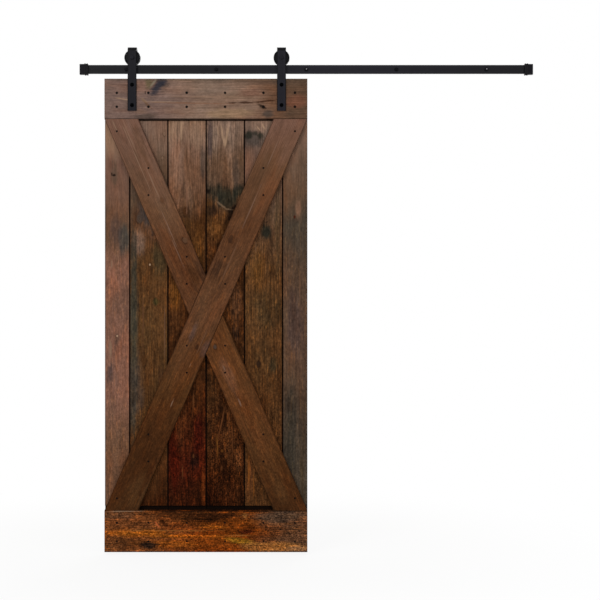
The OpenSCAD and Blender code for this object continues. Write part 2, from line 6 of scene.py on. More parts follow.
import bmesh
import bpy
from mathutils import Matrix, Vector

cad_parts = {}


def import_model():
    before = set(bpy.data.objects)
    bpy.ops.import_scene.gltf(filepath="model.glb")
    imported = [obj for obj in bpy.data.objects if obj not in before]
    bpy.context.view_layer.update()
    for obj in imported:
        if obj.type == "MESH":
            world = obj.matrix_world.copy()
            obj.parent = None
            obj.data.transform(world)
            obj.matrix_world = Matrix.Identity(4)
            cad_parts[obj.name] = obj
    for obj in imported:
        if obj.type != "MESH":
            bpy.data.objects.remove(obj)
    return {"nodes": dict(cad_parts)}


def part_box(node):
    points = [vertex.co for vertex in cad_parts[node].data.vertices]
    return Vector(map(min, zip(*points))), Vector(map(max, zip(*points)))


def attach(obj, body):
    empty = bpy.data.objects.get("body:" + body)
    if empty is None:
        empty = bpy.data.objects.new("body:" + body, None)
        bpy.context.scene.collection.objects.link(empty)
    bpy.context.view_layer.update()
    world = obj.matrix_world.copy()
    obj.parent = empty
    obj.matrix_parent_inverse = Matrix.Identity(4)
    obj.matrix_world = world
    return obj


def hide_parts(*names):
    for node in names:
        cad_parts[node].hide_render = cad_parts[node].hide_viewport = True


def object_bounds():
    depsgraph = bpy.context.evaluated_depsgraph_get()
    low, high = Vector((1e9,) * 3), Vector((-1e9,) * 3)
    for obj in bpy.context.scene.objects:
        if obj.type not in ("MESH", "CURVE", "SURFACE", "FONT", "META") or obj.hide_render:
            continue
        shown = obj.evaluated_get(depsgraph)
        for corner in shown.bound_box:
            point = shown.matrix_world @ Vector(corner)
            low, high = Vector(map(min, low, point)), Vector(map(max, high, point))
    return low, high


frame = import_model()
cad_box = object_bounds()
nodes = frame["nodes"]

# Where the door lies in the frame, in metres
plank_low, plank_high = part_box("plank_1")
rail_low, rail_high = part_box("top_rail")
DOOR_LEFT = rail_low.x
DOOR_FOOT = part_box("bottom_rail")[0].z
DOOR_WIDTH = rail_high.x - rail_low.x
HALF_WIDTH = DOOR_WIDTH / 2
PLANK_FRONT = plank_low.y
PLANK_THICK = plank_high.y - plank_low.y

# The field between the rails and the planks' seams, from the door's lower left corner
FIELD_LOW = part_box("bottom_rail")[1].z - DOOR_FOOT
FIELD_HIGH = rail_low.z - DOOR_FOOT
FIELD_MID = (FIELD_LOW + FIELD_HIGH) / 2
HALF_FIELD = (FIELD_HIGH - FIELD_LOW) / 2
SEAMS = [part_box(f"plank_{i}")[0].x - DOOR_LEFT for i in range(2, 7)]
DOOR_MIDDLE = Vector((DOOR_LEFT + HALF_WIDTH, PLANK_FRONT, DOOR_FOOT + FIELD_MID))

# How far grain leans to the right at its top: the long brace's, a plank's and a rail's
BRACE_WIDTH = 0.1397
LEAN = (math.acos(BRACE_WIDTH / 2 / math.hypot(HALF_WIDTH, HALF_FIELD))
        - math.atan2(HALF_FIELD, HALF_WIDTH))
UPRIGHT = 0.0
LEVEL = math.pi / 2

# Heights between which the wood goes from dusty to burnt, and from smooth to gritty
BURNT_FROM = 1.8
BURNT_BELOW = 1.25
GRITTY_FROM = 1.0
GRITTY_BELOW = 0.5

# How far the fibres wander, the yearly rings are ragged and the tones run into each other
FIBRE_WANDER = 0.02
RING_RAGGED = 0.007
TONE_RAGGED = 0.3

# How far the wood is dark round a screw, beside a seam as painted shade, and along an edge, and how far the
# painted shadow below the top slot reaches
SCREW_REACH = 0.0075
SCREW_RAGGED = 0.004
SEAM_REACH = 0.005
EDGE_REACH = 0.006
SHOULDER_REACH = 0.004

# The slot under the top rail, and how far the painted shade and stain in the slots go past the field
TOP_SLOT = 0.005
SLOT_MARGIN = 0.02
SLOT_FADE = 0.01

# How far behind the planks' front the seams' painted shade and stain are full, and scars are full and gone
SKIN = 0.001
SCAR_FULL = 0.003
SCAR_GONE = 0.008

# How far the fibres, the steel's coat and its turning marks stand out
WOOD_RELIEF = 0.0006
COAT_RELIEF = 0.0001
TURNING_RELIEF = 0.00005

# How far apart the boards lie in the noises
SEED_STEP = 7.31


# Colours

def tint(red, green, blue):
    """A colour given as 0 to 255 on screen, as linear numbers with alpha."""
    def linear(value):
        value /= 255
        return value / 12.92 if value <= 0.04045 else ((value + 0.055) / 1.055) ** 2.4
    return linear(red), linear(green), linear(blue), 1.0


def darker(colour, factors):
    """A linear colour times the factors, as numbers."""
    return (*(part * factor for part, factor in zip(colour, factors)), 1.0)


ROSE_GREY = tint(112, 90, 81)
ROSE_TAN = tint(124, 98, 82)
SAND = tint(132, 104, 84)
CLAY = tint(120, 92, 76)
BRICK = tint(120, 84, 64)
ROSE = tint(108, 78, 64)
TAN = tint(106, 75, 56)
HAZEL = tint(94, 68, 50)
SADDLE = tint(92, 60, 39)
COCOA = tint(84, 53, 33)
SEPIA = tint(97, 67, 47)
FAWN = tint(89, 54, 29)
NUT = tint(82, 54, 30)
GREY_NUT = tint(82, 64, 50)
UMBER = tint(76, 47, 24)
BARK = tint(66, 38, 18)
CHOCOLATE = tint(58, 28, 10)
OXBLOOD = tint(64, 22, 9)
NIGHT = tint(43, 18, 6)
MAHOGANY = tint(104, 50, 18)
GINGER = tint(112, 54, 14)
COPPER = tint(111, 63, 31)
RUST = tint(98, 57, 30)
AMBER = tint(112, 68, 26)
GOLD = tint(138, 78, 24)
HONEY = tint(156, 100, 48)
OLIVE = tint(66, 52, 33)
DUN = tint(86, 64, 49)
DUSK = tint(66, 56, 46)
GREY_SLATE = tint(56, 50, 42)
MOSS = tint(58, 54, 30)
SLATE = tint(60, 57, 47)
SMOKE = tint(72, 61, 54)
PLUM = tint(76, 60, 57)
INK = tint(48, 47, 54)
PALE = tint(172, 140, 112)
OAT = tint(140, 112, 86)
ASH = tint(142, 120, 102)
STONE = tint(66, 65, 60)
ASHEN = tint(75, 67, 64)
TAUPE = tint(97, 75, 60)
BUFF = tint(168, 118, 76)
RUSSET = tint(124, 86, 70)
TERRA = tint(118, 74, 56)
TAWNY = tint(154, 82, 22)
STRAW = tint(140, 104, 28)
EMBER = tint(196, 96, 56)
CLARET = tint(92, 22, 8)
WINE = tint(54, 14, 6)
LICHEN = tint(85, 80, 60)
SAGE = tint(122, 114, 96)
PITCH = tint(40, 39, 31)
KNOT = tint(40, 28, 21)
SOOT = tint(18, 11, 8)
WHITE = (1.0, 1.0, 1.0, 1.0)

# Factors that change a colour of the wood
COOLER = (0.84, 0.97, 1.06)
WARMER = (1.18, 0.96, 0.8)
CHARRED = (0.4, 0.38, 0.4)
GILDED = (2.1, 1.75, 1.15)
LIFTED = (1.7, 1.65, 1.55)
KNOT_HALO = (0.62, 0.55, 0.5)
KNOT_RINGS = (0.5, 0.45, 0.4)

# Factors that change a colour of the steel, nylon and rubber
RUBBED = (1.5, 1.45, 1.4)
# Painted highlight beside a bar's edges, and painted shade on them
EDGE_HIGHLIGHT = (1.4, 1.4, 1.4)
EDGE_SHADE = (0.2, 0.2, 0.2)
# Painted shade on a strap's bend
BEND_SHADE = (0.15, 0.15, 0.15)
# The track's coat darker towards both ends
ENDS_DARKER = (0.35, 0.35, 0.35)
MOULD_DUST = (1.6, 1.6, 1.55)
DULLED = (0.7, 0.68, 0.66)


# The solids of a node

def islands(node):
    """The box of each separate solid of a node, from left to right."""
    bm = bmesh.new()
    bm.from_mesh(nodes[node].data)
    bmesh.ops.remove_doubles(bm, verts=bm.verts, dist=1e-6)
    left = set(bm.verts)
    found = []
    while left:
        group = [left.pop()]
        for vertex in group:
            near = {edge.other_vert(vertex) for edge in vertex.link_edges} & left
            left -= near
            group.extend(near)
        low = Vector([min(v.co[i] for v in group) for i in range(3)])
        high = Vector([max(v.co[i] for v in group) for i in range(3)])
        found.append((low, high))
    bm.free()
    return sorted(found, key=lambda pair: (round(pair[0].x, 4), pair[0].z))


# Shader graphs written as expressions

class Wire:
    """A node's output, which can be used in arithmetic."""

    def __init__(self, graph, socket):
        self.graph = graph
        self.socket = socket

    def __add__(self, other):
        return self.graph.math("ADD", self, other)

    def __sub__(self, other):
        return self.graph.math("SUBTRACT", self, other)

    def __rsub__(self, other):
        return self.graph.math("SUBTRACT", other, self)

    def __mul__(self, other):
        return self.graph.math("MULTIPLY", self, other)

    def __truediv__(self, other):
        return self.graph.math("DIVIDE", self, other)

    __radd__ = __add__
    __rmul__ = __mul__


class Graph:
    """A node tree whose nodes are made by function calls."""

    def __init__(self, owner):
        owner.use_nodes = True
        self.tree = owner.node_tree
        self.tree.nodes.clear()

    def link(self, value, socket):
        if isinstance(value, Wire):
            self.tree.links.new(value.socket, socket)
        elif socket.type == "VECTOR":
            socket.default_value = value[:3]
        else:
            socket.default_value = value

    def make(self, kind, inputs, output=0, **settings):
        node = self.tree.nodes.new(kind)
        for key, value in settings.items():
            setattr(node, key, value)
        for key, value in inputs.items():
            self.link(value, node.inputs[key])
        return Wire(self, node.outputs[output])

    def math(self, operation, *values):
        return self.make("ShaderNodeMath", dict(enumerate(values)), operation=operation)

    def vector_math(self, operation, *values, output=0):
        inputs = dict(enumerate(values))
        return self.make("ShaderNodeVectorMath", inputs, output, operation=operation)

    def join(self, x=0.0, y=0.0, z=0.0):
        return self.make("ShaderNodeCombineXYZ", {0: x, 1: y, 2: z})

    def split(self, vector):
        node = self.tree.nodes.new("ShaderNodeSeparateXYZ")
        self.link(vector, node.inputs[0])
        return [Wire(self, socket) for socket in node.outputs]

    def noise(self, vector, scale=1.0, detail=2.0, roughness=0.5):
        inputs = {"Vector": vector, "Scale": scale, "Detail": detail, "Roughness": roughness}
        return self.make("ShaderNodeTexNoise", inputs)

    def share(self, value, low, high, shape="SMOOTHSTEP"):
        """Goes from 0 to 1 while the value goes from low to high."""
        inputs = {"Value": value, "From Min": low, "From Max": high}
        return self.make("ShaderNodeMapRange", inputs, interpolation_type=shape)

    def mix(self, share, a, b):
        """Colour a where the share is 0, and b where it is 1."""
        return self.make("ShaderNodeMix", {0: share, 6: a, 7: b}, 2, data_type="RGBA")

    def toned(self, colour, share, factors):
        """Multiplies the colour by the factors where the share is 1."""
        return self.mix(share, colour, self.vector_math("MULTIPLY", colour, factors))

    def shaded(self, colour, amount):
        return self.make("ShaderNodeVectorMath", {0: colour, 3: amount}, operation="SCALE")

    def ramp(self, value, stops):
        node = self.tree.nodes.new("ShaderNodeValToRGB")
        elements = node.color_ramp.elements
        while len(elements) < len(stops):
            elements.new(0.5)
        for element, (place, colour) in zip(elements, stops):
            element.position = place
            element.color = colour
        self.link(value, node.inputs[0])
        return Wire(self, node.outputs[0])

    def place(self):
        """The place in the frame, in metres."""
        return self.make("ShaderNodeTexCoord", {}, output="Object")

    def bump(self, height, relief, strength):
        inputs = {"Height": height, "Distance": relief, "Strength": strength}
        return self.make("ShaderNodeBump", inputs)

    def finish(self, colour, roughness, specular, normal, metallic=0.0):
        shader = self.tree.nodes.new("ShaderNodeBsdfPrincipled")
        self.link(colour, shader.inputs["Base Color"])
        self.link(roughness, shader.inputs["Roughness"])
        shader.inputs["Specular IOR Level"].default_value = specular
        shader.inputs["Metallic"].default_value = metallic
        self.link(normal, shader.inputs["Normal"])
        end = self.tree.nodes.new("ShaderNodeOutputMaterial")
        self.tree.links.new(shader.outputs[0], end.inputs[0])


# Wood

class Mark(NamedTuple):
    """A knot, stain or scar: its middle, from the door's lower left corner, its half lengths
    along and across the grain, its colour, how strong it is, and how many degrees it is
    turned clockwise from the grain."""
    x: float
    z: float
    half_long: float
    half_wide: float
    colour: tuple
    share: float
    turn: float = 0.0


def marks(rows):
    """Marks in metres, from rows whose places and lengths are in millimetres."""
    return [Mark(*(length / 1000 for length in row[:4]), *row[4:]) for row in rows]


class Board:
    """What one board's wood looks like. Tones and marks are given in millimetres.

    Tones are (place, colour) along the board, by x in a level board and by z in the others.
    The heart says where the middle of the tree lay: (share of the board's width, depth at
    its lower or left end, rise per metre). Where the rise is below zero, the ring figure
    points down. Spacing is the width of a yearly ring. Contrast and grit scale how strongly
    the figure and the grit show. Ringed names screws that have darkened the wood round them.
    """

    def __init__(self, node, grain, seed, tones, heart, spacing=0.006, contrast=1.0, grit=1.0,
                 knots=(), stains=(), scars=(), ringed=None):
        self.node = node
        self.grain = grain
        self.seed = seed * SEED_STEP
        self.tones = [(place / 1000, colour) for place, colour in tones]
        self.heart = heart
        self.spacing = spacing
        self.contrast = contrast
        self.grit = grit
        self.knots = marks(knots)
        self.stains = marks(stains)
        self.scars = marks(scars)
        self.ringed = ringed
        self.sine = math.sin(grain)
        self.cosine = math.cos(grain)
        self.edges = self.find_edges()

    def along_across(self, x, z):
        """A place on the door as how far along and across this board's grain it is."""
        return x * self.sine + z * self.cosine, x * self.cosine - z * self.sine

    def find_edges(self):
        """Where the board's long edges lie across its grain."""
        low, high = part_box(self.node)
        if self.grain == UPRIGHT:
            return low.x - DOOR_LEFT, high.x - DOOR_LEFT
        if self.grain == LEVEL:
            return DOOR_FOOT - high.z, DOOR_FOOT - low.z
        middle = self.along_across(HALF_WIDTH, FIELD_MID)[1]
        return middle - BRACE_WIDTH / 2, middle + BRACE_WIDTH / 2


class Wood:
    """One board's shader: its places and noises, and the steps that colour it. Noise of the
    fibres parts round the knots, and the coarser noise is the same at every depth."""

    def __init__(self, graph, board):
        self.graph = graph
        self.board = board
        x, depth, z = graph.split(graph.place())
        self.x = x - DOOR_LEFT
        self.z = z - DOOR_FOOT
        self.depth = depth
        self.along, across = board.along_across(self.x, self.z)
        self.across = across
        self.flat = graph.join(self.along, across)
        self.burnt = graph.share(self.z, BURNT_FROM, BURNT_BELOW)
        self.gritty = graph.share(self.z, GRITTY_FROM, GRITTY_BELOW)
        seed = board.seed
        wander = self.noise(1.3, across * 5, seed, 1)
        self.fibre = across + (wander - 0.5) * FIBRE_WANDER
        self.knots = [self.part_fibres(knot) for knot in board.knots]
        fibre = self.fibre
        self.cloud = self.noise(3.2, across * 12, seed + 5, 3, 0.6)
        self.hue = self.noise(4, across * 14, seed + 17, 3)
        self.patch = self.noise(7, across * 18, seed + 41, 4, 0.6)
        self.mottle = self.noise(30, across * 60, seed + 29, 4, 0.75)
        self.ragged = self.noise(6, across * 45, seed + 3, 2)
        self.streak = self.noise(5, fibre * 120, depth * 120 + seed, 3, 0.6)
        self.brushed = self.noise(20, fibre * 230, depth * 230 + seed, 2)
        self.fine = self.noise(18, fibre * 480, depth * 480 + seed, 1)
        self.speck = self.noise(75, across * 120, depth * 120 + seed, 2, 0.6)
        self.grit = self.noise(160, across * 180, depth * 160 + seed, 1)
        self.pores = graph.share(self.fine, 0.66, 0.76)
        self.late = self.late_wood()

    def noise(self, along_scale, side, deep, detail, roughness=0.5):
        """Noise at a place that is already scaled across the grain and into the board."""
        place = self.graph.join(self.along * along_scale, side, deep)
        return self.graph.noise(place, detail=detail, roughness=roughness)

    def seen_from(self, mark):
        """A place seen from a mark's middle along its axes, where 1 is the mark's edge."""
        middle = (*self.board.along_across(mark.x, mark.z), 0)
        inputs = {"Vector": self.flat, "Location": middle, "Rotation": (0, 0, math.radians(mark.turn)),
                  "Scale": (mark.half_long, mark.half_wide, 1)}
        return self.graph.make("ShaderNodeMapping", inputs, vector_type="TEXTURE")

    def far_from(self, mark):
        return self.graph.vector_math("LENGTH", self.seen_from(mark), output="Value")

    def part_fibres(self, knot):
        """Bends the fibres round a knot, and gives it with the square of how far away it is,
        where 1 is its edge."""
        g = self.graph
        local = self.seen_from(knot)
        square = g.vector_math("DOT_PRODUCT", local, local, output="Value")
        self.fibre = self.fibre - g.split(local)[1] / (square + 0.5) * knot.half_wide
        return knot, square

    def late_wood(self):
        """The dark part of the yearly rings, as the board's face cuts them."""
        g = self.graph
        share_across, heart_depth, rise = self.board.heart
        low, high = self.board.edges
        aside = self.fibre - (low + (high - low) * share_across)
        below = self.along * rise + (self.depth + (heart_depth - PLANK_FRONT))
        reach = g.math("SQRT", aside * aside + below * below) + (self.ragged - 0.5) * RING_RAGGED
        ring = g.math("FRACT", reach / self.board.spacing)
        return g.share(ring, 0.4, 0.92) * g.share(ring, 1.0, 0.93)

    def stained(self):
        """The stain's tone along the board, blotched across it, with its ragged marks."""
        g = self.graph
        board = self.board
        first = board.tones[0][0]
        length = board.tones[-1][0] - first
        run = (self.x if board.grain == LEVEL else self.z) + (self.cloud - 0.5) * TONE_RAGGED
        stops = [((place - first) / length, colour) for place, colour in board.tones]
        colour = g.ramp(g.share(run, first, first + length, "LINEAR"), stops)
        torn = (self.streak - 0.5) * 0.9 + (self.patch - 0.5) * 1.5 + (self.mottle - 0.5) * 0.6
        for mark in board.stains:
            far = self.far_from(mark) + torn
            colour = g.mix(g.share(far, 1.25, 0.4) * mark.share, colour, mark.colour)
        return colour

    def grained(self, colour):
        """Adds blotches, fibres, rings and pores, and black and gold to burnt wood."""
        g = self.graph
        burnt = self.burnt
        contrast = self.board.contrast
        colour = g.shaded(colour, 1.02 + (self.cloud - 0.5) * (0.8 * contrast))
        colour = g.toned(colour, g.share(self.hue, 0.5, 0.7) * 0.6, COOLER)
        colour = g.toned(colour, g.share(self.hue, 0.5, 0.3) * 0.6, WARMER)
        for noise, dusty_share, burnt_share in (
                (self.mottle, 1.2, 1.1), (self.streak, 1.0, 0.8), (self.speck, 0.7, 1.4)):
            amount = (noise - 0.5) * (burnt * burnt_share + dusty_share) * contrast
            colour = g.shaded(colour, 1 + amount)
        grit_share = 1.6 * self.board.grit * contrast
        colour = g.shaded(colour, 1 + (self.grit - 0.5) * self.gritty * grit_share)
        colour = g.shaded(colour, 1.06 - self.late * (burnt * 0.12 + 0.26) * contrast)
        char = g.share(self.patch, 0.5, 0.3) * burnt * (0.7 * contrast)
        colour = g.toned(colour, char, CHARRED)
        gold = g.share(self.brushed + (self.mottle - 0.5) * 0.5, 0.52, 0.74)
        colour = g.toned(colour, gold * burnt * (0.75 * contrast), GILDED)
        lifted = g.share(self.brushed, 0.58, 0.76) * (1 - burnt) * (0.35 * contrast)
        colour = g.toned(colour, lifted, LIFTED)
        colour = g.shaded(colour, 1 + (self.fine - 0.5) * 0.7)
        return g.shaded(colour, 1 - self.pores * 0.3)

    def knotted(self, colour):
        """Adds the knots, with their rings and broken dark rims, and gives their relief."""
        g = self.graph
        lump = 0.0
        for knot, square in self.knots:
            far = g.math("SQRT", square) + (self.cloud - 0.5) * 0.7 + (self.mottle - 0.5) * 0.9
            body = g.share(far, 1.15, 0.6)
            waves = g.share(g.math("SINE", far * 17), -0.2, 0.9) * 0.6
            rim = g.share(far, 0.65, 0.98) * g.share(far, 1.35, 1.0)
            rim = rim * g.share(self.patch, 0.42, 0.6)
            colour = g.toned(colour, g.share(far, 2.4, 1.0) * (0.5 * knot.share), KNOT_HALO)
            inside = g.mix(waves, knot.colour, darker(knot.colour, KNOT_RINGS))
            colour = g.mix(body * knot.share, colour, inside)
            colour = g.mix(rim * (0.8 * knot.share), colour, SOOT)
            lump = body * 0.5 + lump
        return colour, lump

    def scarred(self, colour):
        """Adds cracks, scratches and bright marks to the front."""
        g = self.graph
        frayed = (self.brushed - 0.5) * 1.3 + (self.mottle - 0.5) * 1.6
        front = g.share(self.depth, PLANK_FRONT + SCAR_GONE, PLANK_FRONT + SCAR_FULL)
        for mark in self.board.scars:
            far = self.far_from(mark) + frayed
            colour = g.mix(g.share(far, 1.2, 0.5) * front * mark.share, colour, mark.colour)
        return colour

    def dark_at_screws(self, colour):
        """Adds the dark rings in the wood round the screws."""
        g = self.graph
        for low, high in islands(self.board.ringed):
            middle = (low + high) / 2
            spot = self.board.along_across(middle.x - DOOR_LEFT, middle.z - DOOR_FOOT)
            away = g.vector_math("DISTANCE", self.flat, (*spot, 0), output="Value")
            away = away + (self.mottle - 0.5) * SCREW_RAGGED
            colour = g.mix(g.share(away, SCREW_REACH, SCREW_REACH * 0.6) * 0.9, colour, SOOT)
        return colour

    def shade_and_stain_in_seams(self, colour):
        """Paints shade, with some pooled stain, in the seams and slots but not on the door's sides, ends and
        back, a painted shadow below the top slot and painted shade beside each seam.
        """
        g = self.graph
        into = self.depth - PLANK_FRONT
        off_middle = g.math("ABSOLUTE", self.z - FIELD_MID)
        reach = HALF_FIELD + SLOT_MARGIN
        in_field = g.share(off_middle, reach + SLOT_FADE, reach)
        inside = g.share(g.math("MINIMUM", self.x, DOOR_WIDTH - self.x), SKIN / 2, SKIN)
        kept = g.share(into, PLANK_THICK * 0.8, PLANK_THICK * 0.6) * in_field * inside
        # All that is sunk behind the planks' front: painted shade, with stain pooled in the seams
        colour = g.mix(g.share(into, SKIN / 10, SKIN) * kept * 0.97, colour, SOOT)
        # A painted shadow of the top rail just below its slot
        shoulder = FIELD_HIGH - TOP_SLOT
        rim = g.share(self.z, shoulder - SHOULDER_REACH, shoulder - SHOULDER_REACH / 2)
        colour = g.mix(rim * kept * 0.8, colour, SOOT)
        low, high = self.board.edges
        for seam in SEAMS:
            if low < seam < high:
                # Painted shade beside the seam
                lip = g.share(self.across, seam - SEAM_REACH, seam - SEAM_REACH / 2)
                colour = g.mix(lip * 0.92, colour, SOOT)
        return colour

    def dark_at_edges(self, colour):
        """Darkens the board along its two long edges."""
        g = self.graph
        low, high = self.board.edges
        edge = g.math("MINIMUM", self.across - low, high - self.across)
        edge = edge + (self.streak - 0.5) * EDGE_REACH
        return g.shaded(colour, 1 - g.share(edge, EDGE_REACH, 0.0) * 0.45)


def wood(board):
    """Stained softwood: rings that flow round the knots, fibres, stains and dark edges."""
    material = bpy.data.materials.new("wood_" + board.node)
    g = Graph(material)
    look = Wood(g, board)
    colour, lump = look.knotted(look.grained(look.stained()))
    colour = look.scarred(colour)
    if board.ringed:
        colour = look.dark_at_screws(colour)
    if board.grain == UPRIGHT:
        colour = look.shade_and_stain_in_seams(colour)
    colour = look.dark_at_edges(colour)
    height = look.fine * 0.5 + look.brushed * 0.35 + lump - look.late * 0.35 - look.pores * 0.6
    roughness = look.streak * 0.2 + 0.58 - look.late * 0.08
    g.finish(colour, roughness, 0.02, g.bump(height, WOOD_RELIEF, 0.5))
    return material


